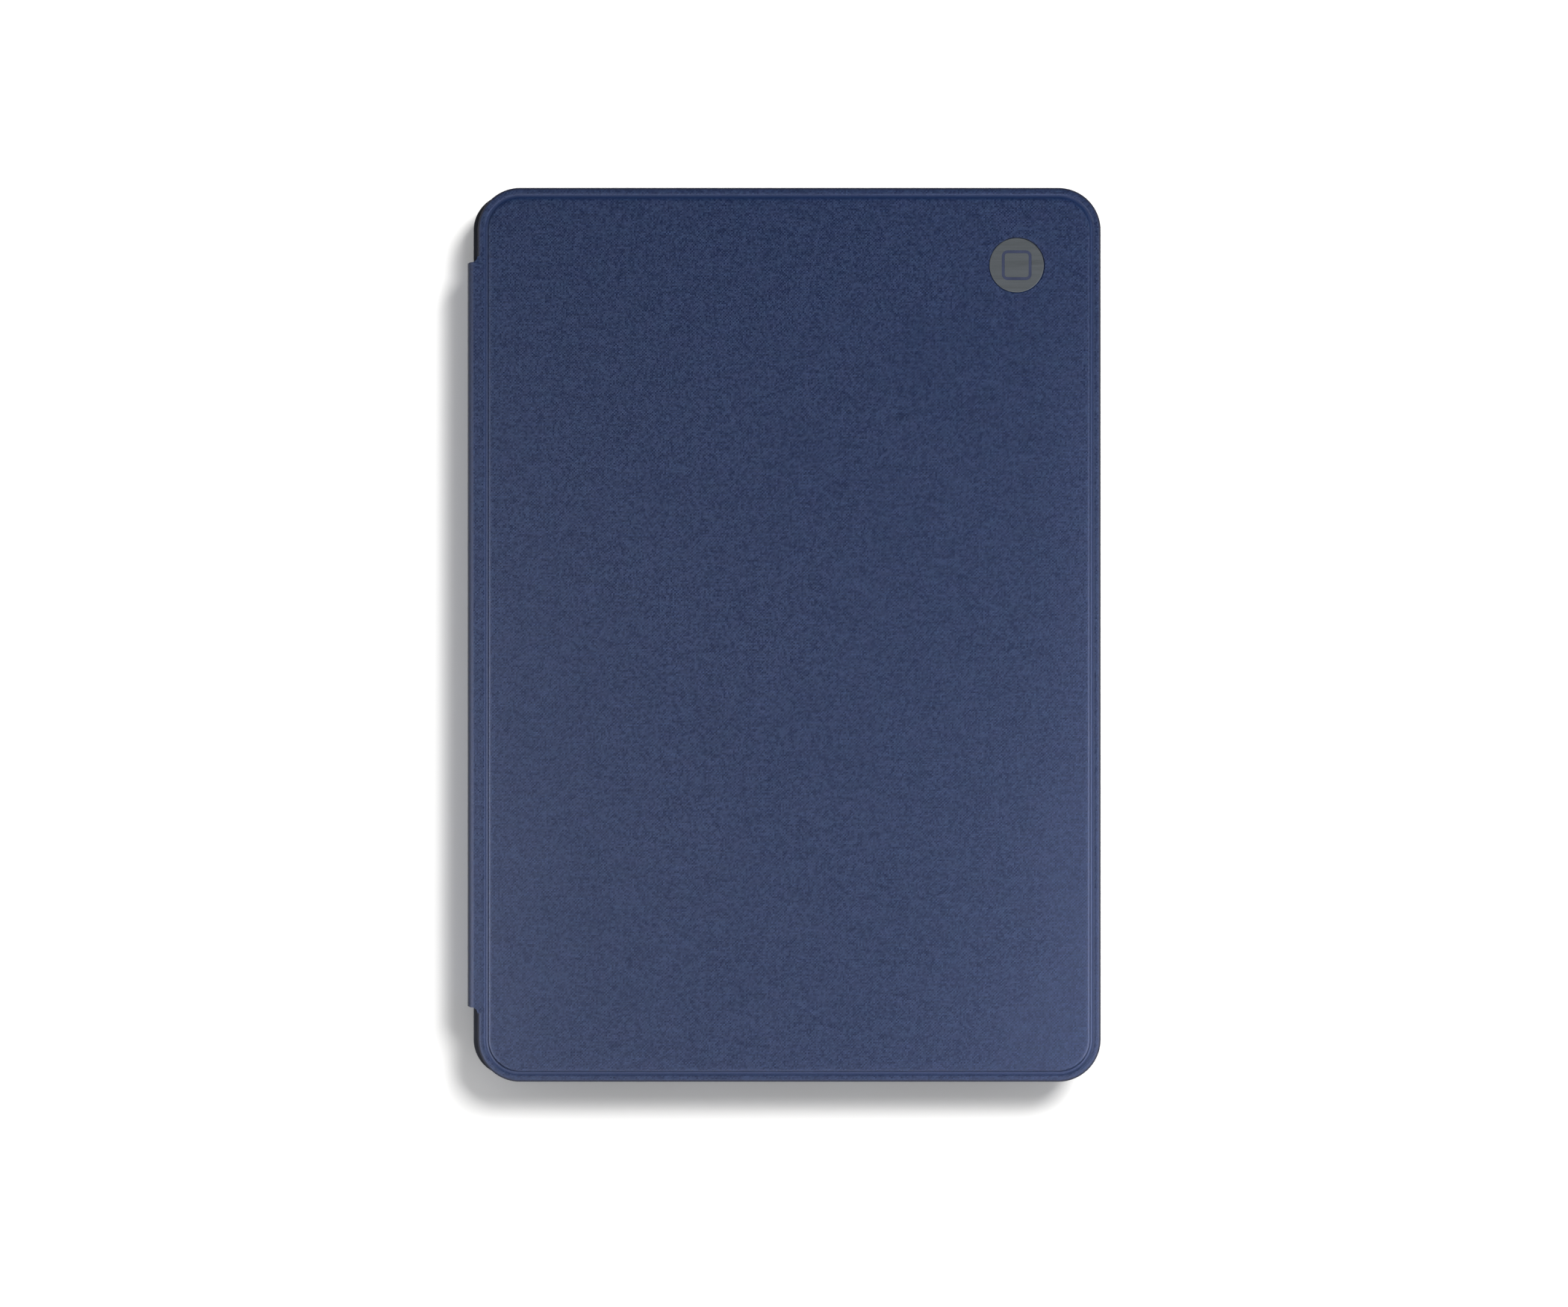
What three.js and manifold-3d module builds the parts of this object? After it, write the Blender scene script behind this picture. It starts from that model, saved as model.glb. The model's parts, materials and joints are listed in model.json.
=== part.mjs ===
// Keyboard case for a tablet: a moulded tray with a fold-out stand, a fabric spine with two creases, and a
// front cover that carries the keyboard. It is closed and lies on its back. X runs across, with the spine at
// -X, Y runs along the spine and Z up through the thickness. The origin is the middle of the underside.
// Lengths are in millimetres.

import * as THREE from 'three';
import { mergeVertices } from 'three/addons/utils/BufferGeometryUtils.js';
import Module from 'manifold-3d';

const wasm = await Module();
wasm.setup();

// ---- Driving dimensions ----

// The tablet that the tray holds, with its screen up and its long side along Y.
const tabletWidth = 174.1;
const tabletLength = 250.6;
const tabletThickness = 7.5;
const tabletClearance = 0.4;
const cameraInset = 14;

// Gaps: between bonded layers, between fixed neighbours, and around pieces that move.
const glueGap = 0.05;
const fitGap = 0.3;
const runGap = 0.4;

// Layers of the fabric skin and the tray.
const skinThickness = 0.8;
const trayFloor = 1.4;
const traySideWall = 1.85;
const trayEndWall = 2.25;
const trayCorner = 10.5;
const liningThickness = 0.5;
const lipThickness = 0.9;
const lipOverhang = 0.8;
const backSkinInset = 0.6;

// How the tray, the spine and the front cover stand proud of each other.
const trayPeek = 1.7;
const coverFreeOverhang = 2.95;
const coverEndOverhang = 1.05;
const spineProud = 1.3;

// Spine strip.
const spineEndInset = 21.5;
const spineSkin = 0.7;
const spineBoard = 0.5;
const spineLining = 0.45;
const spineCreaseLow = 3.0;
const spineCreaseHigh = 3.05;

// Front cover.
const coverCorner = 12.2;
const coverBoard = 0.8;
const panelRise = 0.45;
const panelInset = 3.3;
const panelCorner = 10;
const badgeDiameter = 15.7;
const badgeFromFreeEdge = 24.3;
const badgeFromEnd = 22.4;
const badgeThickness = 0.3;
const badgeSink = 0.12;

// Keyboard housing.
const housingInset = 1.2;
const housingWall = 1.6;
const housingFloor = 0.7;
const deckThickness = 1.0;
const bumperHeight = 1.45;
const bumperWidth = 2.0;
const bumperInset = 0.8;
const backplateThickness = 0.4;
const membraneThickness = 0.2;

// Keys. Widths along a row are in key units, and the units of a row share the key field.
const rowUnits = 14;
const keyFieldMargin = 7.4;
const keyGap = 2.6;
const keyProud = 1.2;
const keyTravel = 1.1;
const capThickness = 1.35;
const capCorner = 1.2;
const stemSize = 4.5;
const webThickness = 0.4;
const functionRowDepth = 8.2;
const keyFieldTop = 5.7;

// Trackpad.
const trackpadLength = 100;
const trackpadMargin = 8.5;
const trackpadThickness = 1.1;
const trackpadCorner = 4;

// Fold-out stand in the back.
const standReach = 83;
const standFreeMargin = 9.1;
const standEndMargin = 16;
const standPlate = 0.95;
const standCorner = 10;
const standHeadroom = 0.2;
const standGap = 0.6;
const standHingeSide = 1.9;
const standFixedSide = 3.2;
const fingerNotch = 5.5;

// Friction hinges of the stand.
const hingeInset = 52;
const hingeLength = 36;
const knuckleRadius = 1.5;
const knuckleFloor = 0.15;
const knuckleBore = 0.65;
const hingePinRadius = 0.5;
const leafReach = 12;
const leafThickness = 0.85;
const leafNeck = 2.1;
const middleKnuckle = 17.4;

// Openings and buttons in the tray's walls.
const cameraRadius = 9;
const cameraRing = 1.2;
const chargePortWidth = 15;
const chargePortHeight = 6;
const jackWidth = 10;
const jackFromSide = 19;
const speakerWidth = 28;
const speakerHeight = 3.6;
const speakerOffset = 44;
const buttonHeight = 4;
const buttonProud = 0.45;
const rockerLength = 24;
const rockerFromEnd = 43;
const sleepLength = 12;
const sleepFromSide = 18;

// Electronics in the housing.
const batteryThickness = 1.9;
const boardThickness = 0.8;
const socketWidth = 8.9;
const socketDepth = 7.3;
const socketHeight = 2.3;
const socketWall = 0.3;
const socketSink = 0.2;
const socketFromHousingTop = 27;
const switchFromHousingTop = 45;
const switchTravel = 3;
const switchNub = 3;
const switchNubHeight = 0.9;
const switchBody = 6;
const switchBodyHeight = 1.8;
const switchProud = 0.6;
const magnetLength = 28;
const magnetWidth = 4;
const magnetThickness = 1.6;
const magnetFromEnd = 62;
const lightRadius = 0.9;

// ---- Places worked out from the dimensions ----

const trayWidth = tabletWidth + 2 * tabletClearance + 2 * traySideWall;
const trayLength = tabletLength + 2 * tabletClearance + 2 * trayEndWall;
const overallWidth = spineProud + trayWidth + coverFreeOverhang;
const spineOuter = -overallWidth / 2;
const trayLeft = spineOuter + spineProud;
const trayRight = trayLeft + trayWidth;
const trayHalf = trayLength / 2;
const coverLeft = trayLeft + trayPeek;
const coverRight = trayRight + coverFreeOverhang;
const coverHalf = trayHalf + coverEndOverhang;
const bayLeft = trayLeft + traySideWall;
const bayRight = trayRight - traySideWall;
const bayHalf = trayHalf - trayEndWall;
const bayCorner = trayCorner - trayEndWall;

const trayBottom = skinThickness + glueGap;
const standPlateTop = trayBottom + standPlate;
const recessTop = standPlateTop + standHeadroom;
const bayFloor = recessTop + trayFloor;
const liningLow = bayFloor + glueGap;
const liningTop = liningLow + liningThickness;
const lipLow = liningTop + tabletThickness + 0.1;
const trayTop = lipLow + lipThickness;
const bumperLow = trayTop + fitGap;
const deckFace = bumperLow + bumperHeight + glueGap;
const keyTop = deckFace - keyProud;
const capBack = keyTop + capThickness;
const deckBack = deckFace + deckThickness;
const housingRim = deckBack + glueGap;
const webLow = housingRim + glueGap;
const stemBack = webLow + webThickness;
const membraneLow = stemBack + keyTravel + 0.15;
const backplateLow = membraneLow + membraneThickness + glueGap;
const cavityTop = backplateLow + backplateThickness + glueGap;
const housingTop = cavityTop + housingFloor;
const boardLow = housingTop + glueGap;
const coverSkinLow = boardLow + coverBoard + glueGap;
const rimTop = coverSkinLow + skinThickness;
const panelTop = rimTop + panelRise;

const housingLeft = coverLeft + housingInset;
const housingRight = coverRight - housingInset;
const housingHalf = coverHalf - housingInset;
const housingCorner = coverCorner - housingInset;

// ---- Shapes ----

// Rounded rectangle between two corners; segments are per corner.
function roundedOutline(xLow, xHigh, yLow, yHigh, radius) {
  const shape = new THREE.Shape();
  shape.moveTo(xLow + radius, yLow);
  shape.lineTo(xHigh - radius, yLow);
  shape.absarc(xHigh - radius, yLow + radius, radius, -Math.PI / 2, 0, false);
  shape.lineTo(xHigh, yHigh - radius);
  shape.absarc(xHigh - radius, yHigh - radius, radius, 0, Math.PI / 2, false);
  shape.lineTo(xLow + radius, yHigh);
  shape.absarc(xLow + radius, yHigh - radius, radius, Math.PI / 2, Math.PI, false);
  shape.lineTo(xLow, yLow + radius);
  shape.absarc(xLow + radius, yLow + radius, radius, Math.PI, 1.5 * Math.PI, false);
  return shape;
}

// The stand's outline: round at its free end and square along its hinge.
function flapOutline(xFree, xHinge, half, radius) {
  const shape = new THREE.Shape();
  shape.moveTo(xHinge, -half);
  shape.lineTo(xHinge, half);
  shape.lineTo(xFree + radius, half);
  shape.absarc(xFree + radius, half - radius, radius, Math.PI / 2, Math.PI, false);
  shape.lineTo(xFree, radius - half);
  shape.absarc(xFree + radius, radius - half, radius, Math.PI, 1.5 * Math.PI, false);
  return shape;
}

// A flat piece of the outline's shape between two heights.
function plate(outline, zLow, zHigh, segments = 12) {
  const settings = { depth: zHigh - zLow, bevelEnabled: false, curveSegments: segments };
  return new THREE.ExtrudeGeometry(outline, settings).translate(0, 0, zLow);
}

function block(xLow, xHigh, yLow, yHigh, zLow, zHigh) {
  const box = new THREE.BoxGeometry(xHigh - xLow, yHigh - yLow, zHigh - zLow);
  return box.translate((xLow + xHigh) / 2, (yLow + yHigh) / 2, (zLow + zHigh) / 2);
}

// A round rod along Y, and a round disc that faces up.
function rod(radius, x, z, yLow, yHigh, sides = 16) {
  return new THREE.CylinderGeometry(radius, radius, yHigh - yLow, sides).translate(x, (yLow + yHigh) / 2, z);
}

function disc(radius, x, y, zLow, zHigh, sides = 32) {
  const cylinder = new THREE.CylinderGeometry(radius, radius, zHigh - zLow, sides);
  return cylinder.rotateX(Math.PI / 2).translate(x, y, (zLow + zHigh) / 2);
}

// ---- Cutting and joining ----

function solidOf(geometry) {
  const bare = geometry.clone();
  bare.deleteAttribute('normal');
  bare.deleteAttribute('uv');
  const merged = mergeVertices(bare, 1e-4);
  const vertProperties = new Float32Array(merged.attributes.position.array);
  const triVerts = new Uint32Array(merged.index.array);
  return new wasm.Manifold(new wasm.Mesh({ numProp: 3, vertProperties, triVerts }));
}

function geometryOf(solid) {
  const made = solid.getMesh();
  const geometry = new THREE.BufferGeometry();
  geometry.setAttribute('position', new THREE.BufferAttribute(made.vertProperties, 3));
  geometry.setIndex(new THREE.BufferAttribute(made.triVerts, 1));
  geometry.computeVertexNormals();
  return geometry;
}

// The first list joined together, less everything in the second list.
function shaped(joined, cut = []) {
  let solid = solidOf(joined[0]);
  for (const geometry of joined.slice(1)) {
    solid = solid.add(solidOf(geometry));
  }
  for (const geometry of cut) {
    solid = solid.subtract(solidOf(geometry));
  }
  return geometryOf(solid);
}

// ---- Materials ----

const finishes = {
  navyFabric: { color: 0x3a4564, roughness: 0.82, metalness: 0 },
  blackPlastic: { color: 0x232426, roughness: 0.55, metalness: 0 },
  deckPlastic: { color: 0x2c2f38, roughness: 0.6, metalness: 0 },
  keyPlastic: { color: 0x1c1d20, roughness: 0.5, metalness: 0 },
  microfibre: { color: 0x2b3040, roughness: 0.95, metalness: 0 },
  stiffener: { color: 0x8a8d86, roughness: 0.8, metalness: 0 },
  rubber: { color: 0x1b1b1c, roughness: 0.9, metalness: 0 },
  greyMetal: { color: 0x6b7076, roughness: 0.45, metalness: 0.6 },
  steel: { color: 0x9a9da0, roughness: 0.35, metalness: 1 },
  circuit: { color: 0x1f5a3a, roughness: 0.6, metalness: 0 },
  foil: { color: 0xb8babd, roughness: 0.4, metalness: 0.7 },
  lightPipe: { color: 0xdfe3e6, roughness: 0.3, metalness: 0 },
};

const model = new THREE.Group();

function addPiece(name, geometry, finish) {
  const mesh = new THREE.Mesh(geometry, new THREE.MeshStandardMaterial(finishes[finish]));
  mesh.name = name;
  model.add(mesh);
}

// ---- Places that more than one piece uses ----

const standFree = trayLeft + standFreeMargin;
const hingeX = standFree + standReach;
const hingeZ = knuckleFloor + knuckleRadius;
const standHalf = trayHalf - standEndMargin;
const hinges = { upper: standHalf - hingeInset, lower: hingeInset - standHalf };
const halfHinge = hingeLength / 2;
const leafTop = standPlateTop - glueGap;
const leafLow = leafTop - leafThickness;

const tabletMiddle = (bayLeft + bayRight) / 2;
const cameraX = tabletMiddle + tabletWidth / 2 - cameraInset;
const cameraY = tabletLength / 2 - cameraInset;
const edgeMiddle = liningTop + tabletThickness / 2;

const spineHalf = coverHalf - spineEndInset;
const spineInner = spineOuter + spineSkin + spineBoard + spineLining + 2 * glueGap;
const rebateX = spineInner + 0.35;
const spineTop = panelTop - spineCreaseHigh;

// A wall slot with room all round for what goes through it.
function slotThroughSide(yMiddle, length, height, room) {
  const half = length / 2 + room;
  const zHalf = height / 2 + room;
  const zLow = edgeMiddle - zHalf;
  return block(bayRight - 1, trayRight + 1, yMiddle - half, yMiddle + half, zLow, edgeMiddle + zHalf);
}

function slotThroughEnd(side, xMiddle, length, height, room) {
  const half = length / 2 + room;
  const zHalf = height / 2 + room;
  const yNear = side * (bayHalf - 1);
  const yFar = side * (trayHalf + 1);
  const yLow = Math.min(yNear, yFar);
  const yHigh = Math.max(yNear, yFar);
  return block(xMiddle - half, xMiddle + half, yLow, yHigh, edgeMiddle - zHalf, edgeMiddle + zHalf);
}

const rockerY = trayHalf - rockerFromEnd;
const sleepX = trayRight - sleepFromSide;
const jackX = trayLeft + jackFromSide;

// ---- Tray ----

function makeTray() {
  const outline = roundedOutline(trayLeft, trayRight, -trayHalf, trayHalf, trayCorner);
  const bay = roundedOutline(bayLeft, bayRight, -bayHalf, bayHalf, bayCorner);
  const mouthCorner = bayCorner - lipOverhang;
  const mouthLeft = bayLeft + lipOverhang;
  const mouthRight = bayRight - lipOverhang;
  const mouthHalf = bayHalf - lipOverhang;
  const mouth = roundedOutline(mouthLeft, mouthRight, -mouthHalf, mouthHalf, mouthCorner);
  const recessFree = standFree - standGap;
  const recess = flapOutline(recessFree, hingeX + standFixedSide, standHalf + standGap, standCorner);
  const ringRadius = cameraRadius + cameraRing;
  const cuts = [
    plate(bay, bayFloor, lipLow),
    plate(mouth, lipLow - 0.1, trayTop + 1),
    plate(recess, -1, recessTop),
    block(trayLeft - 1, rebateX, -spineHalf - fitGap, spineHalf + fitGap, -1, trayTop + 1),
    disc(fingerNotch, recessFree, 0, -1, recessTop),
    disc(cameraRadius, cameraX, cameraY, -1, bayFloor + 1),
    slotThroughEnd(-1, tabletMiddle, chargePortWidth, chargePortHeight, 0),
    slotThroughEnd(-1, tabletMiddle - speakerOffset, speakerWidth, speakerHeight, 0),
    slotThroughEnd(-1, tabletMiddle + speakerOffset, speakerWidth, speakerHeight, 0),
    slotThroughEnd(1, jackX, jackWidth, chargePortHeight, 0),
    slotThroughEnd(1, sleepX, sleepLength, buttonHeight, runGap),
    slotThroughSide(rockerY, rockerLength, buttonHeight, runGap),
  ];
  for (const y of Object.values(hinges)) {
    const yLow = y - halfHinge - fitGap;
    const yHigh = y + halfHinge + fitGap;
    const slotHalf = knuckleRadius + fitGap;
    cuts.push(block(hingeX - slotHalf, hingeX + slotHalf, yLow, yHigh, -1, bayFloor + 1));
    cuts.push(block(hingeX, hingeX + leafReach + fitGap, yLow, yHigh, -1, leafTop + glueGap));
  }
  const ringBoss = disc(ringRadius, cameraX, cameraY, knuckleFloor, trayBottom + 0.5);
  addPiece('tray_shell', shaped([plate(outline, trayBottom, trayTop), ringBoss], cuts), 'blackPlastic');

  const liningRoom = 1;
  const liningHalf = bayHalf - liningRoom;
  const liningShape = roundedOutline(
    bayLeft + liningRoom, bayRight - liningRoom, -liningHalf, liningHalf, bayCorner - liningRoom,
  );
  const liningHole = disc(cameraRadius + 1, cameraX, cameraY, 0, trayTop);
  addPiece('tray_lining', shaped([plate(liningShape, liningLow, liningTop, 4)], [liningHole]), 'microfibre');

  const skinHalf = trayHalf - backSkinInset;
  const skinRight = trayRight - backSkinInset;
  const skinCorner = trayCorner - backSkinInset;
  const skinShape = roundedOutline(rebateX + backSkinInset, skinRight, -skinHalf, skinHalf, skinCorner);
  const skinCuts = [
    plate(recess, -1, recessTop),
    disc(fingerNotch, recessFree, 0, -1, recessTop),
    disc(ringRadius + fitGap, cameraX, cameraY, -1, recessTop),
  ];
  addPiece('back_skin', shaped([plate(skinShape, 0, skinThickness)], skinCuts), 'navyFabric');
}

// The button covers press in on the tablet's own buttons.
function makeButtons() {
  const zLow = edgeMiddle - buttonHeight / 2;
  const zHigh = edgeMiddle + buttonHeight / 2;
  const rockerLow = rockerY - rockerLength / 2;
  const rockerHigh = rockerLow + rockerLength;
  const rocker = block(bayRight + fitGap, trayRight + buttonProud, rockerLow, rockerHigh, zLow, zHigh);
  addPiece('volume_rocker', rocker, 'blackPlastic');
  const sleepLow = sleepX - sleepLength / 2;
  const sleepHigh = sleepLow + sleepLength;
  const sleep = block(sleepLow, sleepHigh, bayHalf + fitGap, trayHalf + buttonProud, zLow, zHigh);
  addPiece('sleep_button', sleep, 'blackPlastic');
}

// ---- Stand and its hinges ----

function makeStand() {
  const nearEdge = hingeX - standHingeSide;
  const hingeNotch = standHingeSide + 0.7;
  const plateCuts = [];
  const skinCuts = [];
  for (const y of Object.values(hinges)) {
    const yLow = y - halfHinge - fitGap;
    const yHigh = y + halfHinge + fitGap;
    plateCuts.push(block(hingeX - leafReach - fitGap, hingeX, yLow, yHigh, 0, recessTop));
    skinCuts.push(block(hingeX - hingeNotch, hingeX, yLow, yHigh, -1, recessTop));
  }
  const plateShape = flapOutline(standFree, nearEdge, standHalf, standCorner);
  addPiece('stand_plate', shaped([plate(plateShape, trayBottom, standPlateTop)], plateCuts), 'greyMetal');
  addPiece('stand_skin', shaped([plate(plateShape, 0, skinThickness)], skinCuts), 'navyFabric');
}

// One hinge: a leaf let into the tray, a leaf let into the stand, and the pin that both turn on.
function makeHinge(label, y) {
  const halfMiddle = middleKnuckle / 2;
  const bore = rod(knuckleBore, hingeX, hingeZ, y - halfHinge - 1, y + halfHinge + 1);
  const sideLow = halfMiddle + fitGap;
  const fixedStart = hingeX + standFixedSide + fitGap;
  const fixedPieces = [
    block(fixedStart, hingeX + leafReach, y - halfHinge, y + halfHinge, leafLow, leafTop),
  ];
  for (const side of [-1, 1]) {
    const yLow = Math.min(side * sideLow, side * halfHinge) + y;
    const yHigh = Math.max(side * sideLow, side * halfHinge) + y;
    fixedPieces.push(block(hingeX, hingeX + standFixedSide + 1, yLow, yHigh, leafLow, leafTop));
    fixedPieces.push(rod(knuckleRadius, hingeX, hingeZ, yLow, yHigh));
  }
  addPiece('hinge_bracket_' + label, shaped(fixedPieces, [bore]), 'steel');
  const movingPieces = [
    block(hingeX - leafReach, hingeX - leafNeck, y - halfHinge, y + halfHinge, leafLow, leafTop),
    block(hingeX - leafNeck - 0.4, hingeX, y - halfMiddle, y + halfMiddle, leafLow, leafTop),
    rod(knuckleRadius, hingeX, hingeZ, y - halfMiddle, y + halfMiddle),
  ];
  addPiece('hinge_leaf_' + label, shaped(movingPieces, [bore]), 'steel');
  addPiece('hinge_pin_' + label, rod(hingePinRadius, hingeX, hingeZ, y - halfHinge, y + halfHinge), 'steel');
}

// ---- Spine ----

function makeSpine() {
  const skinX = spineOuter + spineSkin;
  const boardX = skinX + glueGap + spineBoard;
  const boardHalf = spineHalf - 1.5;
  const liningHalf = spineHalf - 0.5;
  const skin = block(spineOuter, skinX, -spineHalf, spineHalf, spineCreaseLow, spineTop);
  addPiece('spine_skin', skin, 'navyFabric');
  const board = block(skinX + glueGap, boardX, -boardHalf, boardHalf, spineCreaseLow + 1, spineTop - 1);
  addPiece('spine_board', board, 'stiffener');
  const lining = block(boardX + glueGap, spineInner, -liningHalf, liningHalf, spineCreaseLow, spineTop);
  addPiece('spine_lining', lining, 'microfibre');
}

// ---- Front cover ----

function makeCover() {
  const outline = roundedOutline(coverLeft, coverRight, -coverHalf, coverHalf, coverCorner);
  const panelHalf = coverHalf - panelInset;
  const panel = roundedOutline(
    coverLeft + panelInset, coverRight - panelInset, -panelHalf, panelHalf, panelCorner,
  );
  const badgeX = coverRight - badgeFromFreeEdge;
  const badgeY = coverHalf - badgeFromEnd;
  const badgeLow = panelTop - badgeSink - badgeThickness;
  const seat = disc(badgeDiameter / 2 + 0.2, badgeX, badgeY, badgeLow - glueGap, panelTop + 1);
  const skin = shaped([plate(outline, coverSkinLow, rimTop), plate(panel, rimTop - 0.2, panelTop)], [seat]);
  addPiece('cover_skin', skin, 'navyFabric');
  addPiece('badge', disc(badgeDiameter / 2, badgeX, badgeY, badgeLow, panelTop - badgeSink), 'greyMetal');

  const boardInset = 1.5;
  const boardHalf = coverHalf - boardInset;
  const board = roundedOutline(
    coverLeft + boardInset, coverRight - boardInset, -boardHalf, boardHalf, coverCorner - boardInset,
  );
  addPiece('cover_board', plate(board, boardLow, boardLow + coverBoard), 'stiffener');
}

// ---- Keyboard housing ----

const keyUnit = (2 * housingHalf - 2 * keyFieldMargin) / rowUnits;
const keyFieldHalf = (keyUnit * rowUnits) / 2;
const keyFieldLow = housingLeft + keyFieldTop;
const functionPitch = functionRowDepth + keyGap;
const keyFieldHigh = keyFieldLow + functionPitch + 5 * keyUnit;
const trackpadLow = keyFieldHigh + trackpadMargin;
const trackpadHigh = housingRight - trackpadMargin;
const trackpadHalf = trackpadLength / 2;

// Rows from the spine to the free edge, each with its keys from the keyboard's left (+Y) to its right.
// A key is [name, units]. A row without names moves as one piece.
const plainRow = (count) => Array.from({ length: count }, () => ['', 1]);
const keyRows = [
  { name: 'function_row', depth: functionPitch, keys: plainRow(14) },
  { name: 'number_row', depth: keyUnit, keys: plainRow(14) },
  { name: 'upper_row', depth: keyUnit, keys: [['', 1.25], ...plainRow(12), ['', 0.75]] },
  { name: 'home_row', depth: keyUnit, keys: [['', 1.5], ...plainRow(11), ['', 1.5]] },
  {
    depth: keyUnit,
    keys: [
      ['shift_left', 2], ['z', 1], ['x', 1], ['c', 1], ['v', 1], ['b', 1],
      ['n', 1], ['m', 1], ['comma', 1], ['period', 1], ['slash', 1], ['shift_right', 2],
    ],
  },
  {
    depth: keyUnit,
    keys: [
      ['fn', 1], ['control', 1], ['alt_left', 1], ['meta_left', 1.25], ['space', 4.5],
      ['meta_right', 1.25], ['alt_right', 1], ['arrow_left', 1], ['arrow_up', 1, 'high'],
      ['arrow_down', 0, 'low'], ['arrow_right', 1],
    ],
  },
];

// Every cap's place. The up and down arrows share one unit, one above the other.
function layOutKeys() {
  const places = [];
  let xLow = keyFieldLow;
  for (const row of keyRows) {
    const depth = row.depth - keyGap;
    let y = keyFieldHalf;
    for (const [name, units, half] of row.keys) {
      const width = (units || 1) * keyUnit - keyGap;
      const yMiddle = half === 'low' ? y + keyUnit / 2 : y - (units * keyUnit) / 2;
      const halfDepth = (depth - keyGap / 2) / 2;
      const xStart = xLow + keyGap / 2 + (half === 'low' ? depth - halfDepth : 0);
      const capDepth = half ? halfDepth : depth;
      places.push({ row: row.name, name, x: xStart + capDepth / 2, y: yMiddle, depth: capDepth, width });
      y -= units * keyUnit;
    }
    xLow += row.depth;
  }
  return places;
}

const keyPlaces = layOutKeys();

function capOf(place) {
  const { x, y, depth, width } = place;
  const outline = roundedOutline(x - depth / 2, x + depth / 2, y - width / 2, y + width / 2, capCorner);
  return plate(outline, keyTop, capBack, 1);
}

function stemOf(place, top) {
  const half = stemSize / 2;
  return block(place.x - half, place.x + half, place.y - half, place.y + half, capBack - 0.1, top);
}

function makeKeys() {
  for (const place of keyPlaces.filter((key) => key.name)) {
    addPiece('key_' + place.name, shaped([capOf(place), stemOf(place, stemBack)]), 'keyPlastic');
  }
  // The caps of a joined row stand on one web that runs behind the deck.
  for (const row of keyRows.filter((each) => each.name)) {
    const places = keyPlaces.filter((key) => key.row === row.name);
    const half = stemSize / 2;
    const { x, y } = places[0];
    const lastY = places[places.length - 1].y;
    const web = block(x - half, x + half, lastY - half, y + half, webLow, stemBack);
    const pieces = places.flatMap((place) => [capOf(place), stemOf(place, webLow + 0.1)]);
    addPiece(row.name, shaped([web, ...pieces]), 'keyPlastic');
  }
}

const lightX = keyFieldLow - 2.2;
const lightY = keyFieldHalf - 6;
const socketX = housingLeft + socketFromHousingTop;
const switchX = housingLeft + switchFromHousingTop;
const cavityMiddle = (housingRim + cavityTop) / 2;

function makeHousing() {
  const outline = roundedOutline(housingLeft, housingRight, -housingHalf, housingHalf, housingCorner);
  const hole = (xLow, xHigh, yLow, yHigh) => block(xLow, xHigh, yLow, yHigh, deckFace - 1, deckBack + 1);
  const holes = keyPlaces.map(({ x, y, depth, width }) => {
    const halfX = depth / 2 + runGap;
    const halfY = width / 2 + runGap;
    return hole(x - halfX, x + halfX, y - halfY, y + halfY);
  });
  const padHalf = trackpadHalf + runGap;
  holes.push(hole(trackpadLow - runGap, trackpadHigh + runGap, -padHalf, padHalf));
  const lightRoom = lightRadius + glueGap;
  holes.push(hole(lightX - lightRoom, lightX + lightRoom, lightY - lightRoom, lightY + lightRoom));
  addPiece('keyboard_deck', shaped([plate(outline, deckFace, deckBack)], holes), 'deckPlastic');

  const cavityHalf = housingHalf - housingWall;
  const cavityLeft = housingLeft + housingWall;
  const cavityRight = housingRight - housingWall;
  const cavityCorner = housingCorner - housingWall;
  const cavity = roundedOutline(cavityLeft, cavityRight, -cavityHalf, cavityHalf, cavityCorner);
  const socketHalf = socketWidth / 2 + fitGap;
  const switchLow = switchX - switchNub / 2 - runGap;
  const switchHigh = switchX + switchNub / 2 + switchTravel + runGap;
  const slotHalf = switchNubHeight / 2 + 0.35;
  const wallIn = cavityHalf - 1;
  const wallOut = housingHalf + 1;
  const cuts = [
    plate(cavity, housingRim - 1, cavityTop),
    block(socketX - socketHalf, socketX + socketHalf, wallIn, wallOut, housingRim - 1, cavityTop),
    block(switchLow, switchHigh, wallIn, wallOut, cavityMiddle - slotHalf, cavityMiddle + slotHalf),
  ];
  addPiece('keyboard_housing', shaped([plate(outline, housingRim, housingTop)], cuts), 'deckPlastic');
}

// A frame of rubber round the deck keeps the keys off the screen.
function makeBumper() {
  const frameAt = (inset) => {
    const half = housingHalf - inset;
    return roundedOutline(housingLeft + inset, housingRight - inset, -half, half, housingCorner - inset);
  };
  const outside = plate(frameAt(bumperInset), bumperLow, bumperLow + bumperHeight);
  const inside = plate(frameAt(bumperInset + bumperWidth), 0, panelTop);
  addPiece('bumper_frame', shaped([outside], [inside]), 'rubber');
}

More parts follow.
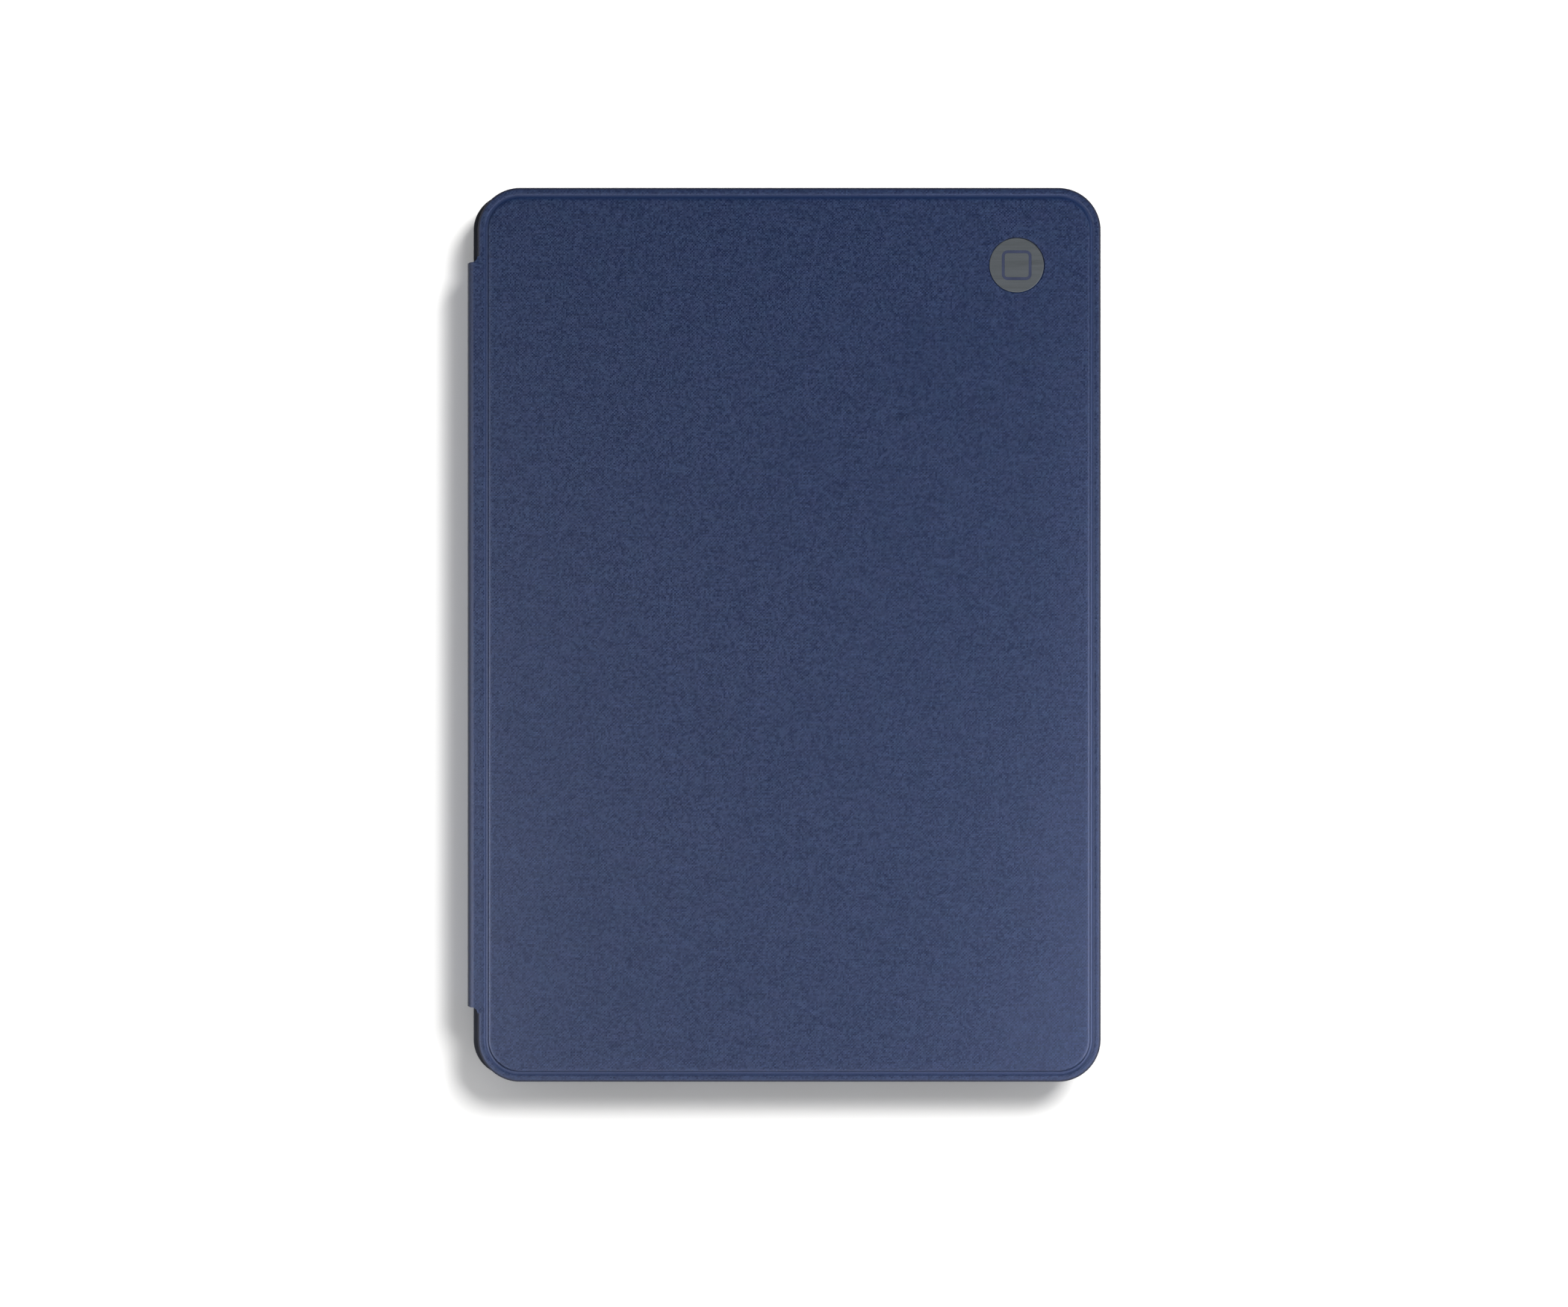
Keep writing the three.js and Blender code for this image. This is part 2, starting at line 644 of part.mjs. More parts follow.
// The socket is a steel shell with a tongue inside, open towards +Y.
function makeSocket() {
  const half = socketWidth / 2;
  const zLow = cavityMiddle - socketHeight / 2;
  const zHigh = cavityMiddle + socketHeight / 2;
  const back = housingHalf - socketSink - socketDepth;
  const front = housingHalf - socketSink;
  const shell = block(socketX - half, socketX + half, back, front, zLow, zHigh);
  const room = half - socketWall;
  const plugRoom = block(
    socketX - room, socketX + room, back + 1, front + 1, zLow + socketWall, zHigh - socketWall,
  );
  const tongueHalf = half - 1.15;
  const tongue = block(
    socketX - tongueHalf, socketX + tongueHalf, back + 0.5, front - 1,
    cavityMiddle - 0.35, cavityMiddle + 0.35,
  );
  const hollow = solidOf(shell).subtract(solidOf(plugRoom));
  addPiece('charging_socket', geometryOf(hollow.add(solidOf(tongue))), 'steel');
}

// The switch is a slider behind the wall with a nub that stands out through it.
function makeSwitch() {
  const inner = housingHalf - housingWall - fitGap;
  const half = switchBody / 2;
  const zHalf = switchBodyHeight / 2;
  const nubHalf = switchNub / 2;
  const nubZ = switchNubHeight / 2;
  const slider = block(
    switchX - half, switchX + half, inner - 1.5, inner, cavityMiddle - zHalf, cavityMiddle + zHalf,
  );
  const nub = block(
    switchX - nubHalf, switchX + nubHalf, inner - 0.5, housingHalf + switchProud,
    cavityMiddle - nubZ, cavityMiddle + nubZ,
  );
  addPiece('power_switch', shaped([slider, nub]), 'blackPlastic');
}

function makeElectronics() {
  const edge = keyFieldHalf - 0.6;
  const keyPadLow = keyFieldLow + 1;
  const keyPadHigh = keyFieldHigh - 1;
  const membrane = block(keyPadLow, keyPadHigh, -edge, edge, membraneLow, membraneLow + membraneThickness);
  addPiece('key_membrane', membrane, 'lightPipe');
  const backplateHigh = backplateLow + backplateThickness;
  const backplate = block(keyPadLow, keyPadHigh, -edge, edge, backplateLow, backplateHigh);
  addPiece('key_backplate', backplate, 'steel');

  const outline = roundedOutline(trackpadLow, trackpadHigh, -trackpadHalf, trackpadHalf, trackpadCorner);
  const padFace = deckFace + 0.1;
  addPiece('trackpad', plate(outline, padFace, padFace + trackpadThickness, 3), 'deckPlastic');

  const partRoom = 2;
  const bayNear = trackpadHalf + 6;
  const bayFar = housingHalf - housingWall - magnetWidth;
  const xLow = keyFieldHigh + partRoom;
  const xHigh = housingRight - housingWall - magnetWidth - 2 * partRoom;
  const partLow = housingRim + 0.2;
  const battery = block(xLow, xHigh, bayNear, bayFar, partLow, partLow + batteryThickness);
  addPiece('battery', battery, 'foil');
  const board = block(xLow, xHigh - 20, -bayFar, -bayNear, partLow, partLow + boardThickness);
  addPiece('control_board', board, 'circuit');

  const magnetHigh = housingRight - housingWall - fitGap;
  for (const [label, side] of [['upper', 1], ['lower', -1]]) {
    const y = side * (housingHalf - magnetFromEnd);
    const magnet = block(
      magnetHigh - magnetWidth, magnetHigh, y - magnetLength / 2, y + magnetLength / 2,
      partLow, partLow + magnetThickness,
    );
    addPiece('closure_magnet_' + label, magnet, 'steel');
  }
  addPiece('status_light', disc(lightRadius, lightX, lightY, deckFace - 0.05, deckBack, 12), 'lightPipe');
}

makeTray();
makeButtons();
makeStand();
for (const [label, y] of Object.entries(hinges)) {
  makeHinge(label, y);
}
makeSpine();
makeCover();
makeHousing();
makeBumper();
makeSocket();
makeSwitch();
makeElectronics();
makeKeys();

export default model;
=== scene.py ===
import json
import math
import bmesh
import bpy
from mathutils import Matrix, Vector

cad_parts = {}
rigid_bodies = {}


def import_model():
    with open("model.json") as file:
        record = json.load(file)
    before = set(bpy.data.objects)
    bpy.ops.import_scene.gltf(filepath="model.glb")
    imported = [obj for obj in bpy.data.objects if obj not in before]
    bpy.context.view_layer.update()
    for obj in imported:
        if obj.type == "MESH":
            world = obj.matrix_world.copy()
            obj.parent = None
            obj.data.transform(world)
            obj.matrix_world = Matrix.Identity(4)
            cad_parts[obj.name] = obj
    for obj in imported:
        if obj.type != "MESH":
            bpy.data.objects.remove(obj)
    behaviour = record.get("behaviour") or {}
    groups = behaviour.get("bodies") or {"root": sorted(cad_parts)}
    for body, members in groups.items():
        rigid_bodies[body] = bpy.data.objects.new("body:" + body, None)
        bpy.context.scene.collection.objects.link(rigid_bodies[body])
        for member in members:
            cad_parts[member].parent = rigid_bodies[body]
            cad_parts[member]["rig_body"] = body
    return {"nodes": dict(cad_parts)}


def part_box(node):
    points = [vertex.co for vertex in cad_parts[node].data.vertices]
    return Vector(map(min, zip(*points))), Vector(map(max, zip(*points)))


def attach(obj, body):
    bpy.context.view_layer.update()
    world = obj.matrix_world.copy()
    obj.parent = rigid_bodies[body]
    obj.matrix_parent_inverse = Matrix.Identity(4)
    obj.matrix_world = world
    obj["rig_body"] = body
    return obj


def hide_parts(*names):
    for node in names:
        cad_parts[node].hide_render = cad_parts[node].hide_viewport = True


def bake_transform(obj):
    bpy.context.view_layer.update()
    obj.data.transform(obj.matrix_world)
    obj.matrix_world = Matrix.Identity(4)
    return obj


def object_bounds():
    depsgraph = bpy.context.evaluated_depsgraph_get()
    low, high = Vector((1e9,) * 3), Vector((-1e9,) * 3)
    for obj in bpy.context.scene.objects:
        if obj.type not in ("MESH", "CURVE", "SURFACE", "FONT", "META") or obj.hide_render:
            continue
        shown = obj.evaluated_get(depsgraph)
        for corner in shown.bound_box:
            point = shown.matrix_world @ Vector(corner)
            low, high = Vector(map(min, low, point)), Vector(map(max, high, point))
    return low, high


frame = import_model()
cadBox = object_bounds()
cadNodes = frame["nodes"]
mm = 0.001


# Node helpers

def addNode(tree, kind, inputs=None, **settings):
    node = tree.nodes.new(kind)
    for key, value in settings.items():
        setattr(node, key, value)
    for key, value in (inputs or {}).items():
        if isinstance(value, bpy.types.NodeSocket):
            tree.links.new(value, node.inputs[key])
        else:
            node.inputs[key].default_value = value
    return node


def maths(tree, operation, *values):
    return addNode(tree, "ShaderNodeMath", dict(enumerate(values)), operation=operation).outputs[0]


def mixColour(tree, factor, first, second, blend="MIX"):
    inputs = {0: factor, 6: first, 7: second}
    return addNode(tree, "ShaderNodeMix", inputs, data_type="RGBA", blend_type=blend).outputs[2]


def mixValue(tree, factor, first, second):
    return addNode(tree, "ShaderNodeMix", {0: factor, 2: first, 3: second}, data_type="FLOAT").outputs[0]


def mapValue(tree, value, low, high, toLow, toHigh):
    inputs = {"Value": value, "From Min": low, "From Max": high, "To Min": toLow, "To Max": toHigh}
    return addNode(tree, "ShaderNodeMapRange", inputs).outputs["Result"]


noiseRange = (0.3, 0.7)  # where nearly all of a noise's values lie


def mapNoise(tree, noise, toLow, toHigh):
    return mapValue(tree, noise, *noiseRange, toLow, toHigh)


def startGroup(name, inputs, outputs):
    group = bpy.data.node_groups.new(name, "ShaderNodeTree")
    for label, kind, value in inputs:
        socket = group.interface.new_socket(label, in_out="INPUT", socket_type=kind)
        if value is not None:
            socket.default_value = value
    for label in outputs:
        group.interface.new_socket(label, in_out="OUTPUT", socket_type="NodeSocketFloat")
    given = group.nodes.new("NodeGroupInput").outputs
    wanted = group.nodes.new("NodeGroupOutput").inputs
    return group, given, wanted


def placeGroup(tree, group, inputs):
    return addNode(tree, "ShaderNodeGroup", inputs, node_tree=group).outputs


def startMaterial(name, **sockets):
    material = bpy.data.materials.new(name)
    material.use_nodes = True
    tree = material.node_tree
    shader = tree.nodes["Principled BSDF"]
    for label, value in sockets.items():
        shader.inputs[label.replace("_", " ")].default_value = value
    return material, tree, shader


def addBump(tree, shader, height, distance, strength):
    inputs = {"Height": height, "Distance": distance, "Strength": strength}
    tree.links.new(addNode(tree, "ShaderNodeBump", inputs).outputs[0], shader.inputs["Normal"])


# Camera, floor and lights

# Heights and places are in millimetres, and the height is above the closed case.
cameraLook = {"lens": 100, "aboveTop": 1256.4, "sideways": 0.0, "alongSpine": -5.4}


def makeCamera():
    lens = bpy.data.cameras.new("camera")
    lens.lens = cameraLook["lens"]
    camera = bpy.data.objects.new("camera", lens)
    height = cadBox[1].z + cameraLook["aboveTop"] * mm
    camera.location = (cameraLook["sideways"] * mm, cameraLook["alongSpine"] * mm, height)
    bpy.context.scene.collection.objects.link(camera)
    bpy.context.scene.camera = camera


# The floor's radius is in metres. It lies a little below the case, in millimetres.
floorLook = {
    "radius": 6.0,
    "sides": 96,
    "below": 0.02,
    "colour": (0.92, 0.92, 0.92, 1),
    "roughness": 0.85,
    "specular": 0.1,
}


def makeFloor():
    look = floorLook
    bm = bmesh.new()
    bmesh.ops.create_circle(bm, cap_ends=True, segments=look["sides"], radius=look["radius"])
    bmesh.ops.translate(bm, verts=bm.verts, vec=(0, 0, cadBox[0].z - look["below"] * mm))
    mesh = bpy.data.meshes.new("floor")
    bm.to_mesh(mesh)
    bm.free()
    floor = bpy.data.objects.new("floor", mesh)
    bpy.context.scene.collection.objects.link(floor)
    material, tree, shader = startMaterial("floorPaint", Specular_IOR_Level=look["specular"])
    shader.inputs["Base Color"].default_value = look["colour"]
    shader.inputs["Roughness"].default_value = look["roughness"]
    mesh.materials.append(material)


# Each light's place and size are in metres and its power in watts. The key light gives the shadow. The three
# low ones only shine in gloss.
lowLight = {"size": 0.38, "colour": (0.70, 0.76, 1.0), "gloss": True}
lightsLook = {
    "key": {"at": (0.62, 0.66, 1.42), "power": 33, "size": 0.55, "colour": (1.0, 0.99, 0.97), "gloss": False},
    "right": {"at": (0.351, -0.135, 0.346), "power": 5.6, **lowLight},
    "left": {"at": (-0.398, -0.134, 0.429), "power": 5.7, **lowLight},
    "front": {"at": (0.0, -0.55, 0.35), "power": 2.7, **lowLight},
}

# The sky's strength as light, as a reflection and as seen behind the floor.
skyLook = {"glow": 0.56, "mirrored": 0.09, "behind": 0.515, "colour": (1.0, 1.0, 1.0, 1)}


def makeLights():
    for name, look in lightsLook.items():
        lamp = bpy.data.lights.new(name, "AREA")
        lamp.energy = look["power"]
        lamp.size = look["size"]
        lamp.color = look["colour"]
        light = bpy.data.objects.new(name, lamp)
        light.location = look["at"]
        light.rotation_euler = Vector(look["at"]).to_track_quat("Z", "Y").to_euler()
        light.visible_camera = False
        light.visible_glossy = look["gloss"]
        light.visible_diffuse = not look["gloss"]
        bpy.context.scene.collection.objects.link(light)
    world = bpy.data.worlds.new("sky")
    world.use_nodes = True
    tree = world.node_tree
    glow = tree.nodes["Background"]
    glow.inputs["Color"].default_value = skyLook["colour"]
    path = addNode(tree, "ShaderNodeLightPath").outputs
    level = mixValue(tree, path["Is Glossy Ray"], skyLook["glow"], skyLook["mirrored"])
    level = mixValue(tree, path["Is Camera Ray"], level, skyLook["behind"])
    tree.links.new(level, glow.inputs["Strength"])
    bpy.context.scene.world = world
    bpy.context.scene.view_settings.view_transform = "Standard"


makeCamera()
makeFloor()
makeLights()
print("camera, floor and lights are set")


# Patterns that several materials use

weaveLook = {
    "wander": 0.02,  # scale of the sideways drift, in threads
    "edge": 0.45,  # height of a thread's edge, where its top is 1
    "warpTone": 0.42,  # the warp's tone beside the weft's
    "dullest": 0.72,  # tone of the dullest crossing
    "streak": 0.018,  # scale of the streaks along the weft
    "patches": 0.045,  # scale of the slow tint
    "knot": 2,  # threads across a knot
    "basket": 0.3,  # how regularly the knots alternate
}


# Plain weave of threads that cross over and under. Tone is 0 in the gaps and 1 on the lightest threads.
def makeWeaveGroup():
    look = weaveLook
    inputs = [
        ("Vector", "NodeSocketVector", None),
        ("Thread", "NodeSocketFloat", 0.00023),
        ("Drift", "NodeSocketFloat", 0.6),
    ]
    group, given, wanted = startGroup("weave", inputs, ["Tone", "Height", "Streak", "Tint", "Knots"])

    def cellNoise(x, y):
        cell = addNode(group, "ShaderNodeCombineXYZ", {0: x, 1: y}).outputs[0]
        noise = addNode(group, "ShaderNodeTexWhiteNoise", {"Vector": cell}, noise_dimensions="2D")
        return noise.outputs["Value"]

    def ridge(place):
        return maths(group, "SINE", maths(group, "MULTIPLY", maths(group, "FRACT", place), math.pi))

    def checker(x, y):
        return maths(group, "PINGPONG", maths(group, "ADD", x, y), 1.0)

    size = addNode(group, "ShaderNodeCombineXYZ", {0: given["Thread"], 1: given["Thread"], 2: 1.0}).outputs[0]
    inputs = {0: given["Vector"], 1: size}
    scaled = addNode(group, "ShaderNodeVectorMath", inputs, operation="DIVIDE").outputs[0]
    wander = addNode(group, "ShaderNodeTexNoise", {"Vector": scaled, "Scale": look["wander"], "Detail": 1.0})
    inputs = {0: wander.outputs["Color"], 1: (0.5, 0.5, 0.5)}
    centred = addNode(group, "ShaderNodeVectorMath", inputs, operation="SUBTRACT").outputs[0]
    inputs = {0: centred, "Scale": given["Drift"]}
    shifted = addNode(group, "ShaderNodeVectorMath", inputs, operation="SCALE").outputs[0]
    moved = addNode(group, "ShaderNodeVectorMath", {0: scaled, 1: shifted}, operation="ADD").outputs[0]
    split = addNode(group, "ShaderNodeSeparateXYZ", {0: moved}).outputs
    warpPlace = maths(group, "FLOOR", split[0])
    weftPlace = maths(group, "FLOOR", split[1])
    over = checker(warpPlace, weftPlace)
    acrossWarp = ridge(split[0])
    acrossWeft = ridge(split[1])
    warp = maths(group, "MULTIPLY", acrossWarp, mapValue(group, acrossWeft, 0, 1, look["edge"], 1.0))
    weft = maths(group, "MULTIPLY", acrossWeft, mapValue(group, acrossWarp, 0, 1, look["edge"], 1.0))
    height = mixValue(group, over, weft, warp)
    speck = mapValue(group, cellNoise(warpPlace, weftPlace), 0, 1, look["dullest"], 1.0)
    light = maths(group, "MULTIPLY", height, mapValue(group, over, 0, 1, 1.0, look["warpTone"]))
    knotX = maths(group, "FLOOR", maths(group, "MULTIPLY", split[0], 1 / look["knot"]))
    knotY = maths(group, "FLOOR", maths(group, "MULTIPLY", split[1], 1 / look["knot"]))
    knots = mixValue(group, look["basket"], cellNoise(knotX, knotY), checker(knotX, knotY))
    inputs = {0: maths(group, "MULTIPLY", split[0], look["streak"]), 1: weftPlace}
    stretched = addNode(group, "ShaderNodeCombineXYZ", inputs).outputs[0]
    streak = addNode(group, "ShaderNodeTexNoise", {"Vector": stretched, "Scale": 1.0, "Detail": 1.0})
    slow = addNode(group, "ShaderNodeTexNoise", {"Vector": scaled, "Scale": look["patches"], "Detail": 2.0})
    group.links.new(maths(group, "MULTIPLY", light, speck), wanted["Tone"])
    group.links.new(height, wanted["Height"])
    group.links.new(streak.outputs[0], wanted["Streak"])
    group.links.new(slow.outputs[0], wanted["Tint"])
    group.links.new(knots, wanted["Knots"])
    return group


grainLook = {"haze": 0.05, "detail": 3.0, "bumpStrength": 0.5}


# Fine grain of a textured mould: Mask varies slowly and Height is the grain itself.
def makeGrainGroup():
    inputs = [("Vector", "NodeSocketVector", None), ("Grain", "NodeSocketFloat", 0.0004)]
    group, given, wanted = startGroup("grain", inputs, ["Mask", "Height"])
    finer = maths(group, "DIVIDE", 1.0, given["Grain"])
    inputs = {"Vector": given["Vector"], "Scale": finer}
    pits = addNode(group, "ShaderNodeTexVoronoi", inputs, feature="SMOOTH_F1")
    slower = maths(group, "MULTIPLY", finer, grainLook["haze"])
    inputs = {"Vector": given["Vector"], "Scale": slower, "Detail": grainLook["detail"]}
    haze = addNode(group, "ShaderNodeTexNoise", inputs)
    group.links.new(haze.outputs[0], wanted["Mask"])
    group.links.new(pits.outputs["Distance"], wanted["Height"])
    return group


brushedLook = {"lines": 90.0, "detail": 4.0, "bump": 0.000004, "bumpStrength": 0.4}


# Fine straight scratches along one direction, as on brushed metal.
def makeBrushedGroup():
    inputs = [("Vector", "NodeSocketVector", None), ("Stretch", "NodeSocketVector", (1.0, 60.0, 60.0))]
    group, given, wanted = startGroup("brushed", inputs, ["Mask", "Height"])
    inputs = {0: given["Vector"], 1: given["Stretch"]}
    stretched = addNode(group, "ShaderNodeVectorMath", inputs, operation="MULTIPLY").outputs[0]
    inputs = {"Vector": stretched, "Scale": brushedLook["lines"], "Detail": brushedLook["detail"]}
    lines = addNode(group, "ShaderNodeTexNoise", inputs).outputs[0]
    group.links.new(lines, wanted["Height"])
    group.links.new(mapNoise(group, lines, 0.0, 1.0), wanted["Mask"])
    return group


weaveGroup = makeWeaveGroup()
grainGroup = makeGrainGroup()
brushedGroup = makeBrushedGroup()


# Materials

clothLook = {
    "thread": 0.00023,
    "drift": 3.0,
    "specular": 0.375,
    "gap": (0.0004, 0.0030, 0.0180, 1),
    "threadLight": (0.0085, 0.0330, 0.1080, 1),
    "plum": (0.0090, 0.0110, 0.0560, 1),
    "teal": (0.0010, 0.0220, 0.0520, 1),
    "tint": 0.26,
    "darkKnots": (0.1, 0.38, 0.62, 1),
    "lightKnots": (2.6, 1.66, 1.38, 1),
    "knotGloss": 0.11,
    "knotLumps": 0.8,
    "streakTone": (0.85, 1.15),
    "streakGloss": 0.015,
    "roughness": (0.46, 0.38),
    "pressed": (0.0024, 0.0120, 0.0500, 1),
    "pressedShare": 0.85,
    "pressedRoughness": 0.46,
    # Painted shade: the dark colour that the folded edges take.
    "paintedFoldShade": (0.0030, 0.0040, 0.0150, 1),
    "foldedRoughness": 0.8,
    "bump": 0.000012,
    "bumpStrength": 0.6,
}


# The navy outer cloth. It reads the woven position that each cloth piece carries. A press above 0 marks
# grooves, where the weave is flattened, and a press below 0 marks folded edges, which are matt and carry
# painted shade.
def makeClothMaterial():
    look = clothLook
    material, tree, shader = startMaterial("navyCloth", Specular_IOR_Level=look["specular"])
    woven = addNode(tree, "ShaderNodeAttribute", attribute_name="cloth").outputs["Vector"]
    pressed = addNode(tree, "ShaderNodeAttribute", attribute_name="pressed").outputs["Fac"]
    weave = placeGroup(tree, weaveGroup, {"Vector": woven, "Thread": look["thread"], "Drift": look["drift"]})
    colour = mixColour(tree, weave["Tone"], look["gap"], look["threadLight"])
    tinted = mixColour(tree, weave["Tint"], look["plum"], look["teal"])
    colour = mixColour(tree, look["tint"], colour, tinted)
    dyed = mixColour(tree, weave["Knots"], look["darkKnots"], look["lightKnots"])
    colour = mixColour(tree, 1.0, colour, dyed, "MULTIPLY")
    streak = mapNoise(tree, weave["Streak"], *look["streakTone"])
    streakColour = addNode(tree, "ShaderNodeCombineXYZ", {0: streak, 1: streak, 2: streak}).outputs[0]
    colour = mixColour(tree, 1.0, colour, streakColour, "MULTIPLY")
    # Painted shade: a press below 0 darkens the folded edges towards their dark colour.
    paintedFoldShade = maths(tree, "MULTIPLY", pressed, -1.0)
    colour = mixColour(tree, maths(tree, "MULTIPLY", pressed, look["pressedShare"]), colour, look["pressed"])
    colour = mixColour(tree, paintedFoldShade, colour, look["paintedFoldShade"])
    tree.links.new(colour, shader.inputs["Base Color"])
    rough = mapValue(tree, weave["Tone"], 0, 1, *look["roughness"])
    uneven = mapValue(tree, weave["Knots"], 0, 1, -look["knotGloss"], look["knotGloss"])
    streaky = mapNoise(tree, weave["Streak"], -look["streakGloss"], look["streakGloss"])
    rough = maths(tree, "ADD", rough, maths(tree, "ADD", uneven, streaky))
    rough = mixValue(tree, pressed, rough, look["pressedRoughness"])
    tree.links.new(mixValue(tree, paintedFoldShade, rough, look["foldedRoughness"]), shader.inputs["Roughness"])
    flat = maths(tree, "SUBTRACT", 1.0, maths(tree, "ABSOLUTE", pressed))
    lumps = maths(tree, "MULTIPLY", weave["Knots"], look["knotLumps"])
    raised = maths(tree, "MULTIPLY", maths(tree, "ADD", weave["Height"], lumps), flat)
    addBump(tree, shader, raised, look["bump"], look["bumpStrength"])
    return material


def makePlasticMaterial(name, dark, light, grain, roughness, bump=0.00003, **sockets):
    material, tree, shader = startMaterial(name, **sockets)
    place = addNode(tree, "ShaderNodeTexCoord").outputs["Object"]
    grains = placeGroup(tree, grainGroup, {"Vector": place, "Grain": grain})
    tree.links.new(mixColour(tree, grains["Mask"], dark, light), shader.inputs["Base Color"])
    tree.links.new(mapNoise(tree, grains["Mask"], *roughness), shader.inputs["Roughness"])
    addBump(tree, shader, grains["Height"], bump, grainLook["bumpStrength"])
    return material


def makeMetalMaterial(name, dark, light, stretch, roughness, metallic=1.0):
    material, tree, shader = startMaterial(name, Metallic=metallic)
    place = addNode(tree, "ShaderNodeTexCoord").outputs["Object"]
    lines = placeGroup(tree, brushedGroup, {"Vector": place, "Stretch": stretch})
    tree.links.new(mixColour(tree, lines["Mask"], dark, light), shader.inputs["Base Color"])
    tree.links.new(mapValue(tree, lines["Mask"], 0, 1, *roughness), shader.inputs["Roughness"])
    addBump(tree, shader, lines["Height"], brushedLook["bump"], brushedLook["bumpStrength"])
    return material


# A finish whose colour, roughness and bump all follow one noise, stretched along the axes. The bump is given
# as its distance and strength.
def makeNoisyMaterial(
        name, dark, light, scale, detail, roughness, bump=None, stretch=(1.0, 1.0, 1.0), **sockets):
    material, tree, shader = startMaterial(name, **sockets)
    place = addNode(tree, "ShaderNodeTexCoord").outputs["Object"]
    stretched = addNode(tree, "ShaderNodeMapping", {"Vector": place, "Scale": stretch}).outputs[0]
    inputs = {"Vector": stretched, "Scale": scale, "Detail": detail}
    noise = addNode(tree, "ShaderNodeTexNoise", inputs).outputs[0]
    tree.links.new(mixColour(tree, noise, dark, light), shader.inputs["Base Color"])
    tree.links.new(mapNoise(tree, noise, *roughness), shader.inputs["Roughness"])
    if bump:
        addBump(tree, shader, noise, *bump)
    return material


pileLook = {
    "sheen": 0.2,
    "sheenRoughness": 0.5,
    "specular": 0.2,
    "tips": 5200.0,
    "tipDetail": 2.0,
    "rubbed": 60.0,
    "rubbedDetail": 4.0,
    "root": (0.012, 0.017, 0.036, 1),
    "tip": (0.046, 0.056, 0.092, 1),
    "worn": (0.060, 0.070, 0.106, 1),
    "wornFrom": (0.35, 0.65),
    "wornShare": 0.6,
    "roughness": (0.85, 0.98),
    "bump": 0.00008,
    "bumpStrength": 0.6,
}


# Short soft pile: a fine noise of tips over a slower rubbed pattern.
def makePileMaterial():
    look = pileLook
    material, tree, shader = startMaterial(
        "microfibre", Sheen_Weight=look["sheen"], Sheen_Roughness=look["sheenRoughness"],
        Specular_IOR_Level=look["specular"])
    place = addNode(tree, "ShaderNodeTexCoord").outputs["Object"]
    inputs = {"Vector": place, "Scale": look["tips"], "Detail": look["tipDetail"]}
    tips = addNode(tree, "ShaderNodeTexNoise", inputs).outputs[0]
    inputs = {"Vector": place, "Scale": look["rubbed"], "Detail": look["rubbedDetail"]}
    rubbed = addNode(tree, "ShaderNodeTexNoise", inputs).outputs[0]
    brushed = mapValue(tree, rubbed, *look["wornFrom"], 0.0, look["wornShare"])
    colour = mixColour(tree, tips, look["root"], look["tip"])
    colour = mixColour(tree, brushed, colour, look["worn"])
    tree.links.new(colour, shader.inputs["Base Color"])
    tree.links.new(mapNoise(tree, rubbed, *look["roughness"]), shader.inputs["Roughness"])
    addBump(tree, shader, tips, look["bump"], look["bumpStrength"])
    return material


circuitLook = {
    "coat": 0.4,
    "coatRoughness": 0.2,
    "scale": 260.0,
    "line": 0.08,
    "board": (0.010, 0.060, 0.024, 1),
    "field": (0.012, 0.075, 0.030, 1),
    "track": (0.030, 0.150, 0.060, 1),
    "roughness": (0.45, 0.3),
    "bump": 0.00003,
    "bumpStrength": 0.5,
}


def makeCircuitMaterial():
    look = circuitLook
    material, tree, shader = startMaterial(
        "circuitBoard", Coat_Weight=look["coat"], Coat_Roughness=look["coatRoughness"])
    inputs = {
        "Vector": addNode(tree, "ShaderNodeTexCoord").outputs["Object"],
        "Scale": look["scale"],
        "Mortar Size": look["line"],
        "Color1": look["board"],
        "Color2": look["field"],
        "Mortar": look["track"],
    }
    tracks = addNode(tree, "ShaderNodeTexBrick", inputs).outputs
    tree.links.new(tracks["Color"], shader.inputs["Base Color"])
    tree.links.new(mapValue(tree, tracks["Fac"], 0, 1, *look["roughness"]), shader.inputs["Roughness"])
    addBump(tree, shader, tracks["Fac"], look["bump"], look["bumpStrength"])
    return material


